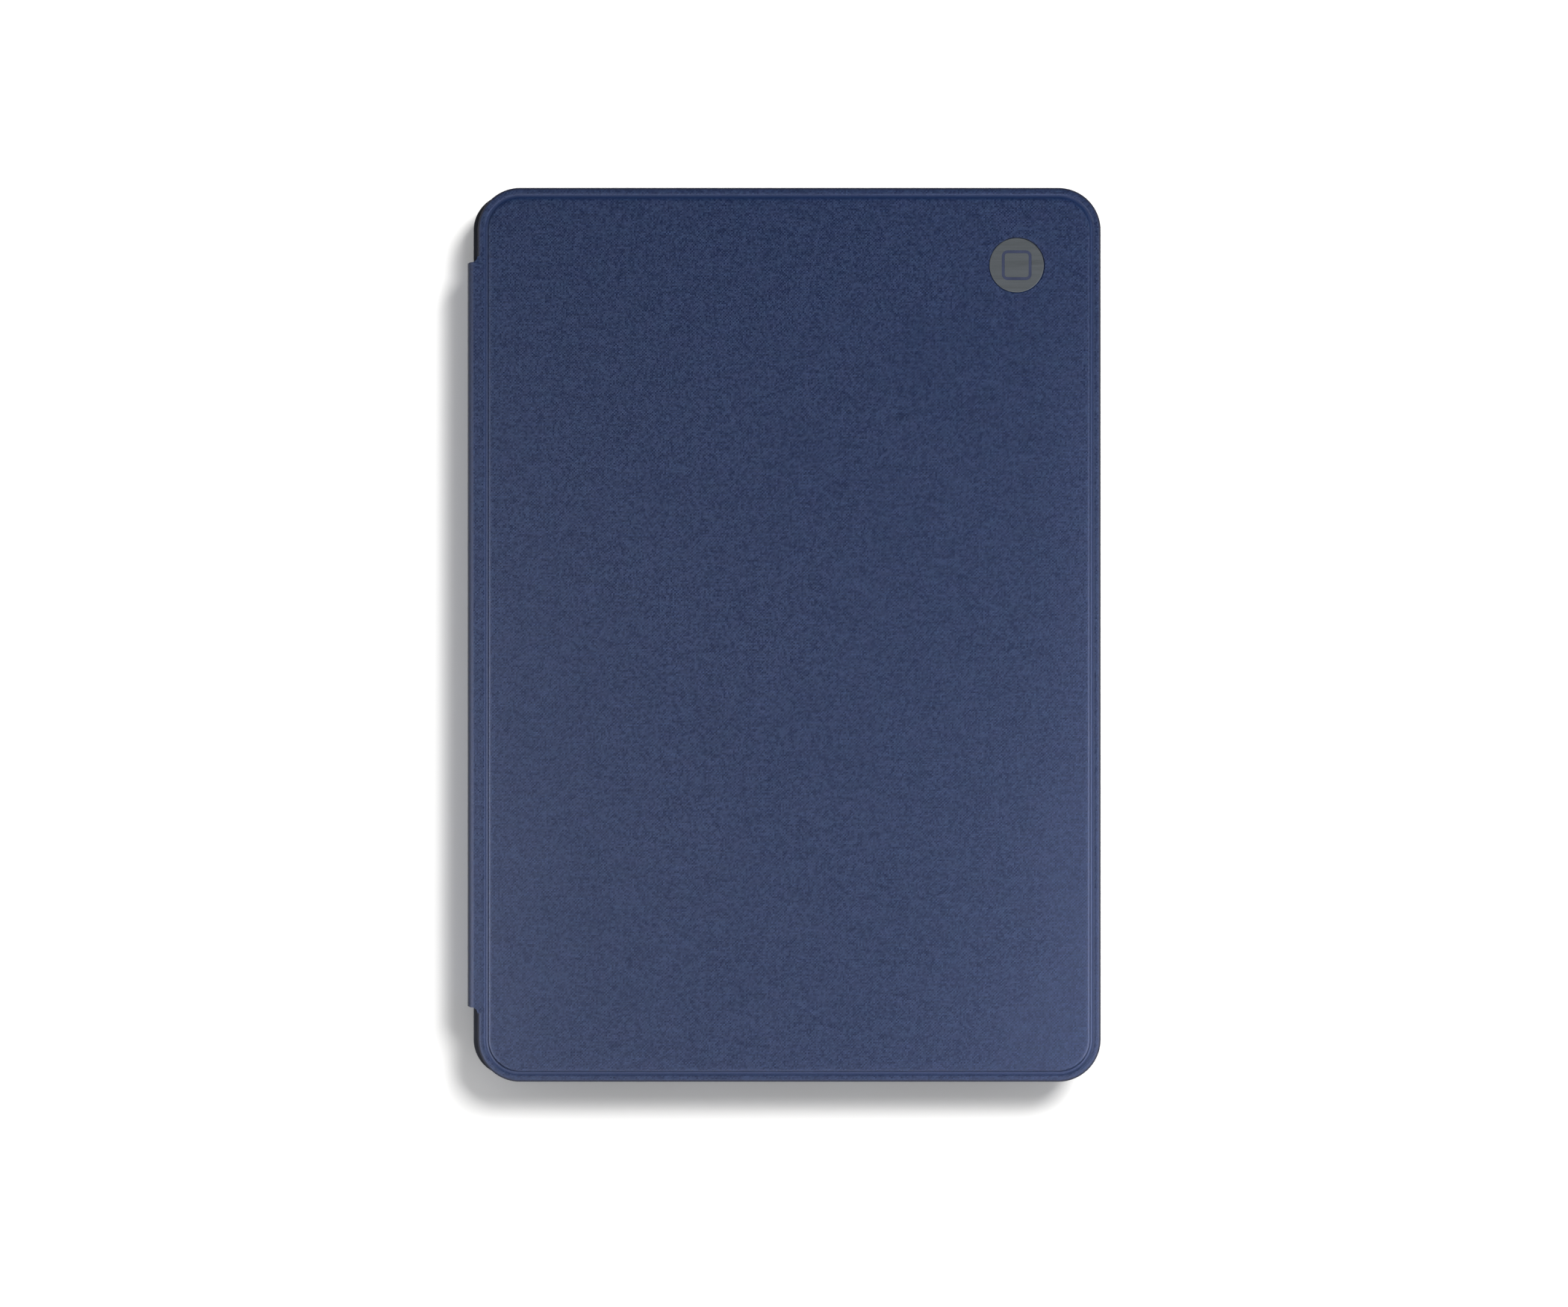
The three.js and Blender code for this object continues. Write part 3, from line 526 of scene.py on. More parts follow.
# Each grain is in metres, and each roughness is a range that the pattern moves in.
materials = {
    "cloth": makeClothMaterial(),
    "tray": makePlasticMaterial(
        "trayPlastic", dark=(0.006, 0.006, 0.008, 1), light=(0.011, 0.011, 0.014, 1),
        grain=0.0003, roughness=(0.5, 0.62), Specular_IOR_Level=0.16),
    "deck": makePlasticMaterial(
        "deckPlastic", dark=(0.021, 0.024, 0.034, 1), light=(0.027, 0.031, 0.042, 1),
        grain=0.00025, roughness=(0.54, 0.6)),
    "key": makePlasticMaterial(
        "keyPlastic", dark=(0.010, 0.010, 0.012, 1), light=(0.015, 0.015, 0.018, 1),
        grain=0.00016, roughness=(0.44, 0.5), bump=0.00001),
    "legend": makePlasticMaterial(
        "legendPaint", dark=(0.52, 0.53, 0.55, 1), light=(0.68, 0.69, 0.71, 1),
        grain=0.0001, roughness=(0.5, 0.6), bump=0.000005),
    "trackpad": makePlasticMaterial(
        "trackpadFace", dark=(0.022, 0.025, 0.034, 1), light=(0.029, 0.033, 0.044, 1),
        grain=0.00012, roughness=(0.3, 0.4), bump=0.000004),
    "rubber": makePlasticMaterial(
        "softRubber", dark=(0.007, 0.007, 0.007, 1), light=(0.015, 0.015, 0.015, 1),
        grain=0.0005, roughness=(0.78, 0.92)),
    "button": makePlasticMaterial(
        "buttonRubber", dark=(0.009, 0.009, 0.010, 1), light=(0.016, 0.016, 0.017, 1),
        grain=0.0002, roughness=(0.5, 0.65)),
    "inlay": makePlasticMaterial(
        "badgeInlay", dark=(0.008, 0.012, 0.034, 1), light=(0.012, 0.018, 0.045, 1),
        grain=0.0002, roughness=(0.45, 0.6)),
    "badge": makeMetalMaterial(
        "badgeMetal", dark=(0.054, 0.059, 0.055, 1), light=(0.065, 0.070, 0.065, 1),
        stretch=(1.0, 45.0, 10.0), roughness=(0.46, 0.6), metallic=0.5),
    "stand": makeMetalMaterial(
        "standMetal", dark=(0.20, 0.21, 0.22, 1), light=(0.31, 0.32, 0.33, 1),
        stretch=(40.0, 1.0, 40.0), roughness=(0.4, 0.55)),
    "steel": makeMetalMaterial(
        "hingeSteel", dark=(0.40, 0.41, 0.42, 1), light=(0.56, 0.57, 0.58, 1),
        stretch=(30.0, 1.0, 30.0), roughness=(0.28, 0.42)),
    "pile": makePileMaterial(),
    "board": makeNoisyMaterial(
        "greyBoard", dark=(0.17, 0.17, 0.15, 1), light=(0.34, 0.34, 0.31, 1), scale=1.0, detail=5.0,
        roughness=(0.75, 0.95), bump=(0.00005, 0.5), stretch=(300.0, 1800.0, 900.0)),
    "circuit": makeCircuitMaterial(),
    "foil": makeNoisyMaterial(
        "batteryFoil", dark=(0.36, 0.37, 0.38, 1), light=(0.62, 0.63, 0.65, 1), scale=260.0, detail=5.0,
        roughness=(0.28, 0.5), bump=(0.0002, 0.4), Metallic=0.85),
    "clear": makeNoisyMaterial(
        "clearPlastic", dark=(0.52, 0.56, 0.60, 1), light=(0.70, 0.74, 0.78, 1), scale=500.0, detail=2.0,
        roughness=(0.22, 0.4), IOR=1.5),
}
print("materials are made")


# Making and refining pieces

def startSolid():
    bm = bmesh.new()
    bm.verts.layers.float_vector.new("cloth")
    bm.verts.layers.float.new("pressed")
    return bm


def finishPiece(name, bm, body, slot, finishes, sharp=32, blend=None):
    mesh = bpy.data.meshes.new(name)
    bm.to_mesh(mesh)
    bm.free()
    for finish in finishes:
        mesh.materials.append(materials[finish])
    mesh.shade_smooth()
    mesh.set_sharp_from_angle(angle=math.radians(sharp))
    piece = bpy.data.objects.new(name, mesh)
    bpy.context.scene.collection.objects.link(piece)
    if blend:
        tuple(blend["start"])
        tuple(blend["end"])
        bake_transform(piece)
    else:
        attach(piece, body)
    return piece


def planOf(low, high, corner):
    middle = (low + high) / 2
    return {"middle": middle, "half": (high - low) / 2, "corner": corner * mm}


# One closed ring of edges round the plan, with round corners.
def roundedRing(bm, plan, segments):
    verts = bmesh.ops.create_grid(bm, x_segments=1, y_segments=1, size=1)["verts"]
    for vert in verts:
        vert.co.x = plan["middle"].x + vert.co.x * plan["half"].x
        vert.co.y = plan["middle"].y + vert.co.y * plan["half"].y
    rounded = bmesh.ops.bevel(
        bm, geom=verts, offset=plan["corner"], offset_type="OFFSET", segments=segments,
        profile=0.5, affect="VERTICES", material=-1, clamp_overlap=False,
    )
    face = rounded["verts"][0].link_faces[0]
    ring = list(face.edges)
    bmesh.ops.delete(bm, geom=[face], context="FACES_ONLY")
    return ring


# Extrudes a ring of edges, and gives the new ring and its points.
def extrudeRing(bm, ring):
    grown = bmesh.ops.extrude_edge_only(bm, edges=ring)["geom"]
    fresh = {item for item in grown if isinstance(item, bmesh.types.BMVert)}
    ring = [item for item in grown if isinstance(item, bmesh.types.BMEdge) and fresh.issuperset(item.verts)]
    return ring, fresh


# Moves a ring in from the plan's outline and gives it a height and its place on the flat cloth.
def placeRing(bm, ring, plan, inset, height, unrolled, pressed):
    cloth = bm.verts.layers.float_vector.get("cloth")
    pressAndFoldShade = bm.verts.layers.float.get("pressed")
    corner = plan["corner"]
    coreX = plan["half"].x - corner
    coreY = plan["half"].y - corner
    for vert in {vert for edge in ring for vert in edge.verts}:
        away = vert.co - plan["middle"]
        heart = Vector((max(-coreX, min(coreX, away.x)), max(-coreY, min(coreY, away.y)), 0))
        outward = Vector((away.x, away.y, 0)) - heart
        outward.normalize()
        base = plan["middle"] + heart
        spot = base + outward * (corner - inset)
        vert.co = (spot.x, spot.y, height)
        flat = base + outward * (corner - unrolled)
        vert[cloth] = (flat.x, flat.y, 0)
        vert[pressAndFoldShade] = pressed


# Grows a shape ring by ring. Each step is (inset, height) or (inset, height, pressed) in metres.
def growRings(bm, plan, steps, segments, closeStart=True, closeEnd=True):
    steps = [(*step, 0.0)[:3] for step in steps]
    unrolled = [steps[-1][0]]
    for near, far in zip(reversed(steps), reversed(steps[:-1])):
        unrolled.append(unrolled[-1] - math.hypot(near[0] - far[0], near[1] - far[1]))
    unrolled.reverse()
    ring = roundedRing(bm, plan, segments)
    rings = []
    for index, (inset, height, pressed) in enumerate(steps):
        if index:
            ring = extrudeRing(bm, ring)[0]
        placeRing(bm, ring, plan, inset, height, unrolled[index], pressed)
        rings.append(ring)
    if closeStart:
        bmesh.ops.contextual_create(bm, geom=rings[0])
    if closeEnd:
        bmesh.ops.contextual_create(bm, geom=rings[-1])
    return rings


def turnOutwards(bm):
    bmesh.ops.recalc_face_normals(bm, faces=bm.faces)


# Merging is in millimetres, and flat and sharp are in degrees. A normal that leans out by more than the lean is
# on an edge or a wall.
refineLook = {"merge": 0.005, "flat": 0.5, "sharp": 20, "segments": 2, "lean": 0.2}


# Gives every point of a flat cloth piece its place in the weave, with its edges folded out flat.
def layWeave(bm):
    cloth = bm.verts.layers.float_vector.get("cloth")
    bm.normal_update()
    for vert in bm.verts:
        outward = Vector((vert.normal.x, vert.normal.y, 0))
        if outward.length > refineLook["lean"]:
            outward.normalize()
        vert[cloth] = (vert.co.x + outward.x * vert.co.z, vert.co.y + outward.y * vert.co.z, 0)


# A CAD node with its edges rounded, as a new piece that stands for it.
def refineNode(node, finish, slot, edge):
    look = refineLook
    source = cadNodes[node]
    bm = startSolid()
    bm.from_mesh(source.data)
    bmesh.ops.remove_doubles(bm, verts=bm.verts, dist=look["merge"] * mm)
    bmesh.ops.dissolve_limit(bm, angle_limit=math.radians(look["flat"]), verts=bm.verts, edges=bm.edges)
    corners = [
        item for item in bm.edges
        if len(item.link_faces) == 2 and item.calc_face_angle(0) > math.radians(look["sharp"])
    ]
    bmesh.ops.bevel(
        bm, geom=corners, offset=edge * mm, offset_type="OFFSET", segments=look["segments"],
        profile=0.5, affect="EDGES", material=-1, clamp_overlap=False,
    )
    if finish == "cloth":
        layWeave(bm)
    piece = finishPiece(node + "_finished", bm, source["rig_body"], slot, [finish], look["sharp"])
    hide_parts(node)


def finishNode(node, finish, slot):
    piece = cadNodes[node]
    piece.data.materials.clear()
    piece.data.materials.append(materials[finish])


# Front cover

# The profile's steps are inset, depth under the face and press. They run from the underside round to the face.
coverLook = {
    "corner": 12.2,
    "segments": 20,
    "underside": [(1.35, 1.27), (1.35, 2.1), (0.25, 2.1), (0.06, 2.03)],
    # Round the edge the press is below 0, which gives the edge painted shade.
    "edge": [
        (0.0, 1.85, -1.0), (0.0, 1.1, -1.0), (0.06, 0.8, -1.0), (0.2, 0.6, -1.0), (0.45, 0.45, -0.7),
        (0.8, 0.4),
    ],
    "rim": [(1.65, 0.4), (1.9, 0.44, 0.3)],
    "groove": [(2.1, 0.53, 0.8), (2.3, 0.56, 1.0), (2.75, 0.56, 1.0), (2.95, 0.47, 0.9)],
    "shoulder": [(3.12, 0.27, 0.3), (3.3, 0.1), (3.55, 0.02), (3.9, 0.0), (4.8, 0.0)],
    "seatGap": 0.2,
    "seatRound": 0.12,
    "seatDepth": 0.46,
    "seatSegments": 72,
}


def makeCoverSkin():
    look = coverLook
    low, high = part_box("cover_skin")
    plan = planOf(low, high, look["corner"])
    steps = []
    for part in ("underside", "edge", "rim", "groove", "shoulder"):
        steps += [(step[0] * mm, high.z - step[1] * mm, *step[2:]) for step in look[part]]
    bm = startSolid()
    rings = growRings(bm, plan, steps, look["segments"], closeEnd=False)
    badgeLow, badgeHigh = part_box("badge")
    middle = (badgeLow + badgeHigh) / 2
    radius = (badgeHigh.x - badgeLow.x) / 2 + look["seatGap"] * mm
    outer = radius + look["seatRound"] * mm
    circle = bmesh.ops.create_circle(bm, segments=look["seatSegments"], radius=outer)["verts"]
    bmesh.ops.translate(bm, verts=circle, vec=(middle.x, middle.y, high.z))
    ring = list({edge for vert in circle for edge in vert.link_edges})
    bmesh.ops.triangle_fill(bm, edges=rings[-1] + ring, use_beauty=True)
    for size, drop in ((radius, look["seatRound"]), (radius, look["seatDepth"])):
        ring, fresh = extrudeRing(bm, ring)
        for vert in fresh:
            away = Vector((vert.co.x - middle.x, vert.co.y - middle.y, 0)).normalized() * size
            vert.co = (middle.x + away.x, middle.y + away.y, high.z - drop * mm)
    bmesh.ops.contextual_create(bm, geom=ring)
    cloth = bm.verts.layers.float_vector.get("cloth")
    for vert in bm.verts:
        if Vector(vert[cloth]).length == 0:
            vert[cloth] = (vert.co.x, vert.co.y, 0)
    turnOutwards(bm)
    piece = finishPiece("cover_cloth", bm, "front_cover", "navy_fabric", ["cloth"])
    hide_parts("cover_skin")


# The badge is a plain disc with a rounded square let into it. Sizes are in millimetres. The ease is a share of
# the rim, and the roundness is a share of the radius.
badgeLook = {
    "rim": 0.12,
    "ease": 0.3,
    "roundness": 0.999,
    "segments": 18,
    "square": 4.3,
    "line": 0.85,
    "corner": 1.7,
    "sink": 0.06,
    "squareSegments": 8,
}


def makeBadge():
    look = badgeLook
    low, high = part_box("badge")
    radius = (high.x - low.x) / 2
    middle = (low + high) / 2

    def squarePlan(half, corner):
        return {"middle": middle, "half": Vector((half, half, 0)), "corner": corner}

    rim = look["rim"] * mm
    ease = rim * look["ease"]
    steps = [(0, low.z), (0, high.z - rim), (ease, high.z - ease), (rim, high.z), (rim * 2, high.z)]
    bm = startSolid()
    disc = squarePlan(radius, radius * look["roundness"])
    outside = growRings(bm, disc, steps, look["segments"], closeEnd=False)[-1]
    square = look["square"] * mm
    floor = high.z - look["sink"] * mm
    line = squarePlan(square, look["corner"] * mm)
    core = squarePlan(square - look["line"] * mm, (look["corner"] - look["line"]) * mm)
    segments = look["squareSegments"]
    groove = growRings(bm, line, [(0, high.z), (0, floor)], segments, closeStart=False, closeEnd=False)
    island = growRings(bm, core, [(0, floor), (0, high.z)], segments, closeStart=False)
    bmesh.ops.triangle_fill(bm, edges=outside + groove[0], use_beauty=True)
    filled = bmesh.ops.triangle_fill(bm, edges=groove[1] + island[0], use_beauty=True)["geom"]
    for item in filled:
        if isinstance(item, bmesh.types.BMFace):
            item.material_index = 1
    turnOutwards(bm)
    piece = finishPiece("badge_plate", bm, "front_cover", "badge_metal", ["badge", "inlay"])
    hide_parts("badge")


makeCoverSkin()
makeBadge()
finishNode("cover_board", "board", "stiffener")
print("front cover is made")


# Spine: outer cloth and inner lining, each in two strips, one on the cover's side and one on the tray's side

# Sizes are in millimetres. The tuck is a share of the corner, and sharp is in degrees. bendSteps, sideSteps and
# lengthSteps are counts. The rolls are the radii of the cloth's turns onto the cover and under the tray.
stripLook = {
    "thickness": 0.5,
    "coverRoll": 2.0,
    "trayRoll": 2.3,
    "flare": 1.7,
    "corner": 1.0,
    "tuck": 0.3,
    "faceDrop": 0.38,
    "grooveDrop": 0.54,
    "sideDepth": 1.2,
    "lapOnCover": 2.45,
    "lapSlope": (0.3, 0.55, 0.75),
    "lapEase": 0.02,
    "faceSteps": (1.0, 0.5, 0.2, 0.0, -0.15, -0.35, -0.6, -0.85),
    "backLift": 0.01,
    "lapOnTray": (0.5, 1.0, 1.6, 2.6),
    "bendSteps": 14,
    "sideSteps": 6,
    "lengthSteps": 44,
    "sharp": 40,
}

# Where the cloth is pressed into the groove, and where painted shade darkens its fold. The last two are
# shares of the roll.
spinePress = {"lap": 0.5, "fold": -0.3, "across": 0.85, "down": 1.1}

# Where the blends end: past the cover's edge or the tray roll, and inside the spine's face, in millimetres, and
# how far down that face, in rolls.
spineBend = {"past": 0.4, "inwards": 0.1, "down": 1.3}


def arc(middle, radius, start, end, count):
    points = []
    for step in range(count + 1):
        angle = math.radians(start + (end - start) * step / count)
        points.append((middle[0] + radius * math.cos(angle), middle[1] + radius * math.sin(angle)))
    return points


# A strip of cloth that follows a path of (x, z) points and runs along Y to halfAt(x) each way.
def makeStrip(name, path, halfAt, thickness, finish, slot, blend, weaveStart, pressAndFoldShadeAt=None):
    bm = startSolid()
    cloth = bm.verts.layers.float_vector.get("cloth")
    pressAndFoldShade = bm.verts.layers.float.get("pressed")
    count = len(path) - 1
    bmesh.ops.create_grid(bm, x_segments=count, y_segments=stripLook["lengthSteps"], size=1)
    travelled = [0.0]
    for near, far in zip(path, path[1:]):
        travelled.append(travelled[-1] + math.hypot(far[0] - near[0], far[1] - near[1]))
    for vert in bm.verts:
        index = round((vert.co.x + 1) / 2 * count)
        x, z = path[index]
        y = vert.co.y * halfAt(x, z)
        vert.co = (x, y, z)
        vert[cloth] = (weaveStart - travelled[index], y, 0)
        vert[pressAndFoldShade] = pressAndFoldShadeAt(x, z) if pressAndFoldShadeAt else 0.0
    bm.normal_update()
    facing = next(iter(bm.faces)).normal
    inwards = 1 if facing.x < -0.5 or facing.z > 0.5 else -1
    bmesh.ops.solidify(bm, geom=bm.faces[:], thickness=inwards * thickness)
    turnOutwards(bm)
    return finishPiece(name, bm, None, slot, [finish], stripLook["sharp"], blend)


def makeSpineCloth():
    look = stripLook
    spineLow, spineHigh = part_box("spine_skin")
    coverLow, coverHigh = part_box("cover_skin")
    outer = spineLow.x
    half = spineHigh.y
    flare = look["flare"] * mm
    corner = look["corner"] * mm
    tuck = corner * look["tuck"]
    top = coverHigh.z - look["faceDrop"] * mm
    groove = coverHigh.z - look["grooveDrop"] * mm
    coverEdge = coverLow.x

    def halfAt(x, z):
        out = max(0.0, coverEdge - x)
        if z < top - look["sideDepth"] * mm:
            return half - tuck
        if out < flare:
            return half + flare - math.sqrt(max(0.0, flare ** 2 - (flare - out) ** 2))
        last = max(0.0, out - (coverEdge - outer - corner)) / corner
        return half - tuck * min(1.0, last)

    roll = look["coverRoll"] * mm
    join = coverEdge + look["lapOnCover"] * mm
    middle = (spineLow.z + spineHigh.z) / 2
    sideSteps = look["sideSteps"]
    slopeStart, slopeEnd, faceStart = (join - step * mm for step in look["lapSlope"])
    ease = look["lapEase"] * mm
    path = [(join, groove), (slopeStart, groove + ease), (slopeEnd, top - ease), (faceStart, top)]
    path += [(coverEdge + step * mm, top) for step in look["faceSteps"]]
    path += arc((outer + roll, top - roll), roll, 90, 180, look["bendSteps"])
    drop = top - roll - middle
    path += [(outer, top - roll - drop * step / sideSteps) for step in range(1, sideSteps + 1)]

    def pressAndFoldShadeAt(x, z):
        if x > join - spinePress["lap"] * mm:
            return 1.0
        # The fold round the roll gets painted shade.
        onFold = x < outer + roll * spinePress["across"] and z > top - roll * spinePress["down"]
        return spinePress["fold"] if onFold else 0.0

    past = spineBend["past"] * mm
    face = outer + spineBend["inwards"] * mm
    blend = {"from": "front_cover", "to": "spine",
             "start": (coverEdge - past, 0, top), "end": (face, 0, top - roll * spineBend["down"])}
    upper = makeStrip(
        "spine_cloth_cover_side", path, halfAt, look["thickness"] * mm, "cloth", "navy_fabric",
        blend, join, pressAndFoldShadeAt)
    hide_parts("spine_skin")

    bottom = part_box("back_skin")[0].z + look["backLift"] * mm
    fold = look["trayRoll"] * mm
    lower = [(outer, middle - (middle - bottom - fold) * step / sideSteps) for step in range(sideSteps)]
    lower += arc((outer + fold, bottom + fold), fold, 180, 270, look["bendSteps"])
    lower += [(outer + fold + step * mm, bottom) for step in look["lapOnTray"]]
    blend = {"from": "spine", "to": "tray",
             "start": (face, 0, bottom + fold * spineBend["down"]), "end": (outer + fold + past, 0, bottom)}
    makeStrip(
        "spine_cloth_tray_side", lower, lambda x, z: half - tuck, look["thickness"] * mm, "cloth",
        "navy_fabric", blend, join - (path[0][0] - outer) - (top - middle))


liningLook = {
    "thickness": 0.3,
    "drop": 0.06,
    "roll": 0.8,
    "upSteps": 5,
    "bendSteps": 8,
    "lapOnCover": (0.1, 0.6, 1.05),
    "coverBend": 1.6,
    "downSteps": 6,
    "tuck": (0.06, 0.05),
    "trayBend": (2.2, 0.1),
}


def makeSpineLining():
    look = liningLook
    low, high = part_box("spine_lining")
    inner = high.x
    thickness = look["thickness"] * mm
    middle = (low.z + high.z) / 2
    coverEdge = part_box("cover_skin")[0].x
    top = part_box("cover_board")[0].z - look["drop"] * mm
    roll = look["roll"] * mm
    rise = top - roll - middle
    path = [(inner, middle + rise * step / look["upSteps"]) for step in range(look["upSteps"])]
    path += arc((inner + roll, top - roll), roll, 180, 90, look["bendSteps"])
    path += [(coverEdge + step * mm, top) for step in look["lapOnCover"]]
    blend = {"from": "spine", "to": "front_cover", "start": (inner, 0, top - look["coverBend"] * mm),
             "end": (coverEdge, 0, top)}
    upper = makeStrip(
        "spine_lining_cover_side", path, lambda x, z: high.y, thickness, "pile", "lining", blend, 0.0)
    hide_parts("spine_lining")
    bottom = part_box("tray_shell")[0].z
    drop = middle - bottom
    path = [(inner, middle - drop * step / look["downSteps"]) for step in range(look["downSteps"] + 1)]
    tuckIn, tuckDown = look["tuck"]
    path.append((inner + tuckIn * mm, bottom - tuckDown * mm))
    above, end = look["trayBend"]
    blend = {"from": "spine", "to": "tray", "start": (inner, 0, bottom + above * mm),
             "end": (inner, 0, bottom + end * mm)}
    makeStrip("spine_lining_tray_side", path, lambda x, z: high.y, thickness, "pile", "lining", blend, 0.0)


makeSpineCloth()
makeSpineLining()
finishNode("spine_board", "board", "stiffener")
print("spine is made")


# Tray, stand, hinges and inner parts: CAD shapes with their edges rounded by the last number, in millimetres

refinedNodes = {
    "tray_shell": ("tray", "tray_plastic", 0.22),
    "back_skin": ("cloth", "navy_fabric", 0.18),
    "stand_skin": ("cloth", "navy_fabric", 0.18),
    "stand_plate": ("stand", "stand_metal", 0.12),
    "volume_rocker": ("button", "button_rubber", 0.35),
    "sleep_button": ("button", "button_rubber", 0.35),
    "tray_lining": ("pile", "lining", 0.12),
    "bumper_frame": ("rubber", "button_rubber", 0.3),
    "keyboard_housing": ("deck", "deck_plastic", 0.25),
    "power_switch": ("button", "button_rubber", 0.15),
    "charging_socket": ("steel", "hinge_steel", 0.08),
    "hinge_bracket_upper": ("steel", "hinge_steel", 0.08),
    "hinge_bracket_lower": ("steel", "hinge_steel", 0.08),
    "hinge_leaf_upper": ("steel", "hinge_steel", 0.08),
    "hinge_leaf_lower": ("steel", "hinge_steel", 0.08),
}

# These keep the CAD shape, because they are hidden or plain.
hiddenNodes = {
    "hinge_pin_upper": ("steel", "hinge_steel"),
    "hinge_pin_lower": ("steel", "hinge_steel"),
    "key_membrane": ("clear", "clear_plastic"),
    "key_backplate": ("steel", "hinge_steel"),
    "battery": ("foil", "battery_foil"),
    "control_board": ("circuit", "circuit_board"),
    "closure_magnet_upper": ("steel", "hinge_steel"),
    "closure_magnet_lower": ("steel", "hinge_steel"),
    "status_light": ("clear", "clear_plastic"),
}

for node, (finish, slot, edge) in refinedNodes.items():
    refineNode(node, finish, slot, edge)
for node, (finish, slot) in hiddenNodes.items():
    finishNode(node, finish, slot)
print("tray, stand and inner parts are finished")


# Keyboard: every cap is grown from the CAD key's place, with its legend on the face

# Sizes are in millimetres. A face's or an edge's steps are its inset and its rise.
keyLook = {
    "gap": 2.6,
    "corner": 1.2,
    "cap": 1.35,
    "capSegments": 4,
    "faceDepth": 0.45,
    "backRound": 0.1,
    "stem": 4.5,
    "web": 0.4,
    "webEnds": 8,
    "face": [(0.8, 0.0), (0.42, 0.0), (0.18, 0.05), (0.04, 0.2)],
    "letter": 5.0,
    "word": 3.1,
    "small": 2.6,
    "shallow": 12,
    "arrow": 1.0,
    "raised": 0.015,
    "curves": 2,
}

rowKeys = {
    "function_row": [(1, text) for text in "esc F1 F2 F3 F4 F5 F6 F7 F8 F9 F10 F11 F12 del".split()],
    "number_row": [(1, text) for text in "` 1 2 3 4 5 6 7 8 9 0 - = back".split()],
    "upper_row": [(1.25, "tab")] + [(1, text) for text in "Q W E R T Y U I O P [ ]".split()] + [(0.75, "\\")],
    "home_row": [(1.5, "caps")] + [(1, text) for text in "A S D F G H J K L ; '".split()] + [(1.5, "enter")],
}

singleKeys = {
    "key_shift_left": "shift", "key_shift_right": "shift", "key_comma": ",", "key_period": ".",
    "key_slash": "/", "key_fn": "fn", "key_control": "ctrl", "key_alt_left": "alt",
    "key_alt_right": "alt", "key_meta_left": "meta", "key_meta_right": "meta", "key_space": "",
    "key_arrow_left": 90, "key_arrow_up": 0, "key_arrow_down": 180, "key_arrow_right": 270,
}
singleKeys.update({"key_" + letter: letter.upper() for letter in "zxcvbnm"})

# Text lies on the keys' faces, which look down: its right is -Y and its top is -X.
ontoFace = Matrix(((0, -1, 0, 0), (-1, 0, 0, 0), (0, 0, -1, 0), (0, 0, 0, 1)))


def textMesh(text, size):
    letters = bpy.data.curves.new("letters", "FONT")
    letters.body = text
    letters.size = size * mm
    letters.align_x = "CENTER"
    letters.align_y = "CENTER"
    letters.resolution_u = keyLook["curves"]
    letters.extrude = keyLook["raised"] * mm
    holder = bpy.data.objects.new("letters", letters)
    bpy.context.scene.collection.objects.link(holder)
    depsgraph = bpy.context.evaluated_depsgraph_get()
    mesh = bpy.data.meshes.new_from_object(holder.evaluated_get(depsgraph))
    bpy.data.objects.remove(holder)
    bpy.data.curves.remove(letters)
    return mesh


# A legend is a text, or the angle at which an arrow points.
def addLegend(bm, legend, x, y, z, size):
    before = set(bm.verts)
    if isinstance(legend, (int, float)):
        radius = keyLook["arrow"] * mm
        depth = 2 * keyLook["raised"] * mm
        bmesh.ops.create_cone(bm, cap_ends=True, segments=3, radius1=radius, radius2=radius, depth=depth)
        turn = Matrix.Rotation(math.radians(legend), 4, "Z")
    else:
        mesh = textMesh(legend, size)
        bm.from_mesh(mesh)
        bpy.data.meshes.remove(mesh)
        turn = Matrix.Identity(4)
    fresh = [vert for vert in bm.verts if vert not in before]
    bmesh.ops.transform(bm, verts=fresh, matrix=Matrix.Translation((x, y, z)) @ ontoFace @ turn)
    for face in {face for vert in fresh for face in vert.link_faces}:
        face.material_index = 1


def addCap(bm, low, high, stemTop, legend):
    look = keyLook
    plan = planOf(low, high, look["corner"])
    back = low.z + look["cap"] * mm
    steps = [(inset * mm, low.z + rise * mm) for inset, rise in look["face"]]
    backRound = look["backRound"] * mm
    steps += [(0, low.z + look["faceDepth"] * mm), (0, back - backRound), (backRound, back)]
    growRings(bm, plan, steps, look["capSegments"])
    stem = bmesh.ops.create_cube(bm, size=1)["verts"]
    tall = stemTop - back
    bmesh.ops.scale(bm, verts=stem, vec=(look["stem"] * mm, look["stem"] * mm, tall))
    bmesh.ops.translate(bm, verts=stem, vec=(plan["middle"].x, plan["middle"].y, back + tall / 2))
    turnOutwards(bm)
    if legend == "":
        return
    size = look["letter"] if isinstance(legend, str) and len(legend) == 1 else look["word"]
    if high.x - low.x < look["shallow"] * mm:
        size = look["small"]
    addLegend(bm, legend, plan["middle"].x, plan["middle"].y, low.z, size)


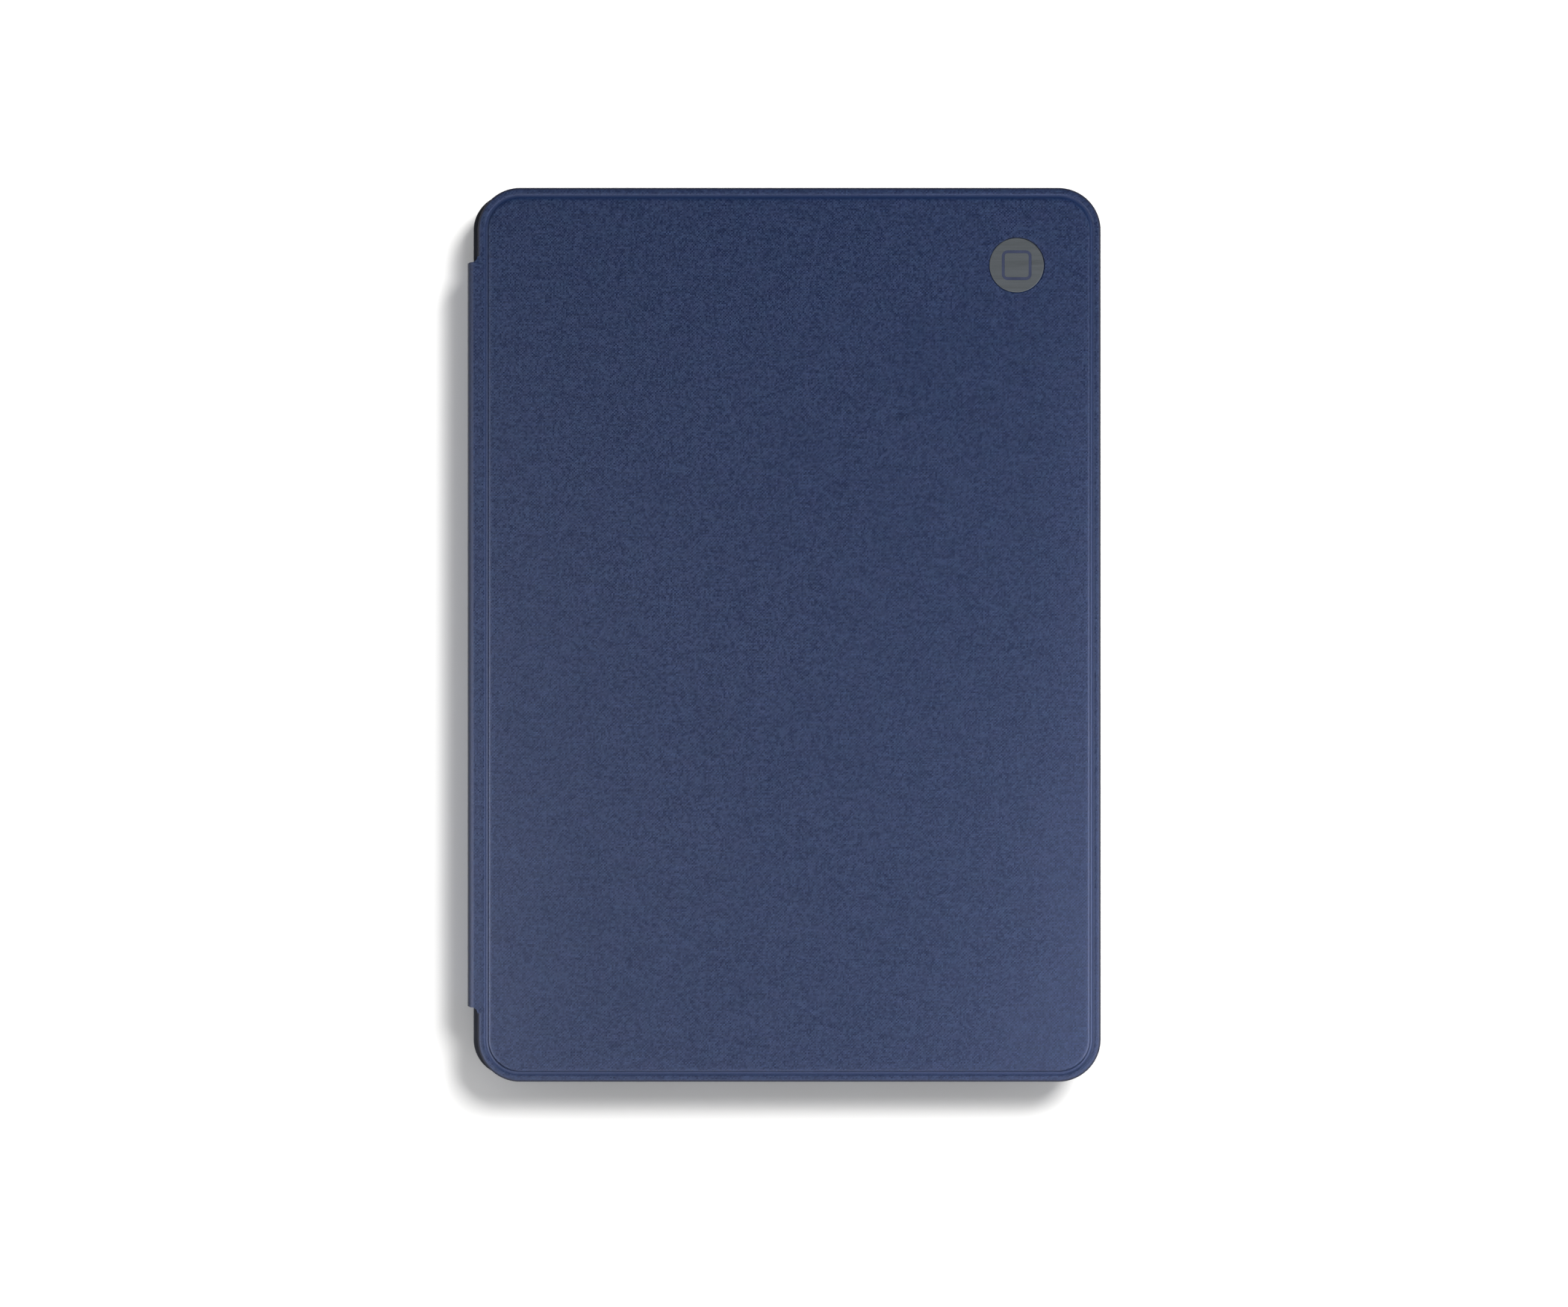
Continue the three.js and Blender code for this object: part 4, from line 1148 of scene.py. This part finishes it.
# Makes every key, and gives the caps' boxes, which the deck's holes need.
def makeKeys():
    look = keyLook
    capBoxes = []
    gap = look["gap"] * mm
    for node, legend in singleKeys.items():
        low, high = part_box(node)
        capBoxes.append((low, high))
        bm = startSolid()
        addCap(bm, low, high, high.z, legend)
        piece = finishPiece(node + "_cap", bm, cadNodes[node]["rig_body"], "key_plastic", ["key", "legend"])
        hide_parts(node)
    for node, keys in rowKeys.items():
        low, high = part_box(node)
        unit = (high.y - low.y + gap) / sum(width for width, text in keys)
        bm = startSolid()
        left = high.y + gap / 2
        for width, text in keys:
            capLow = Vector((low.x, left - width * unit + gap / 2, low.z))
            capHigh = Vector((high.x, left - gap / 2, high.z))
            capBoxes.append((capLow, capHigh))
            addCap(bm, capLow, capHigh, high.z, text)
            left -= width * unit
        web = bmesh.ops.create_cube(bm, size=1)["verts"]
        thick = look["web"] * mm
        middle = (low + high) / 2
        bmesh.ops.scale(bm, verts=web, vec=(look["stem"] * mm, high.y - low.y - look["webEnds"] * mm, thick))
        bmesh.ops.translate(bm, verts=web, vec=(middle.x, middle.y, high.z - thick / 2))
        piece = finishPiece(node + "_caps", bm, cadNodes[node]["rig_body"], "key_plastic", ["key", "legend"])
        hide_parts(node)
    return capBoxes


trackpadLook = {
    "corner": 4.0,
    "edge": [(0.9, 0.0), (0.4, 0.0), (0.15, 0.04), (0.03, 0.16), (0.0, 0.35)],
    "segments": 8,
}

deckLook = {
    "corner": 11.0,
    "edge": [(0.6, 0.0), (0.3, 0.0), (0.08, 0.08), (0.0, 0.3)],
    "segments": 14,
    "room": 0.4,
    "capCorner": 1.5,
    "lightCorner": 0.9,
    "lightRoom": 0.05,
    "holeRound": 0.15,
    "holeEase": 0.3,
    "holeSegments": 4,
}


# The deck is one plate, with a hole for every cap, the trackpad and the status light.
def makeDeck(capBoxes):
    look = deckLook
    low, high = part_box("keyboard_deck")
    plan = planOf(low, high, look["corner"])
    bm = startSolid()
    steps = [(inset * mm, low.z + rise * mm) for inset, rise in look["edge"]]
    steps.append((0, high.z))
    outside = growRings(bm, plan, steps, look["segments"], closeStart=False, closeEnd=False)
    face = list(outside[0])
    back = list(outside[-1])
    soft = look["holeRound"] * mm
    ease = look["holeEase"] * soft
    openings = [(*box, look["capCorner"], look["room"]) for box in capBoxes]
    openings.append((*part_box("trackpad"), trackpadLook["corner"] + look["room"], look["room"]))
    openings.append((*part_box("status_light"), look["lightCorner"], look["lightRoom"]))
    for holeLow, holeHigh, corner, room in openings:
        grow = Vector((room * mm, room * mm, 0))
        hole = planOf(holeLow - grow, holeHigh + grow, corner)
        steps = [(-2 * soft, low.z), (-soft, low.z), (-ease, low.z + ease), (0, low.z + soft), (0, high.z)]
        rings = growRings(bm, hole, steps, look["holeSegments"], closeStart=False, closeEnd=False)
        face += rings[0]
        back += rings[-1]
    bmesh.ops.triangle_fill(bm, edges=face, use_beauty=True, normal=(0, 0, -1))
    bmesh.ops.triangle_fill(bm, edges=back, use_beauty=True, normal=(0, 0, 1))
    turnOutwards(bm)
    piece = finishPiece("deck_plate", bm, "front_cover", "deck_plastic", ["deck"])
    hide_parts("keyboard_deck")


def makeTrackpad():
    low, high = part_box("trackpad")
    plan = planOf(low, high, trackpadLook["corner"])
    steps = [(inset * mm, low.z + rise * mm) for inset, rise in trackpadLook["edge"]]
    steps.append((0, high.z))
    bm = startSolid()
    growRings(bm, plan, steps, trackpadLook["segments"])
    turnOutwards(bm)
    piece = finishPiece("trackpad_glass", bm, "trackpad", "trackpad_face", ["trackpad"])
    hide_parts("trackpad")


makeDeck(makeKeys())
makeTrackpad()
print("keyboard is made")
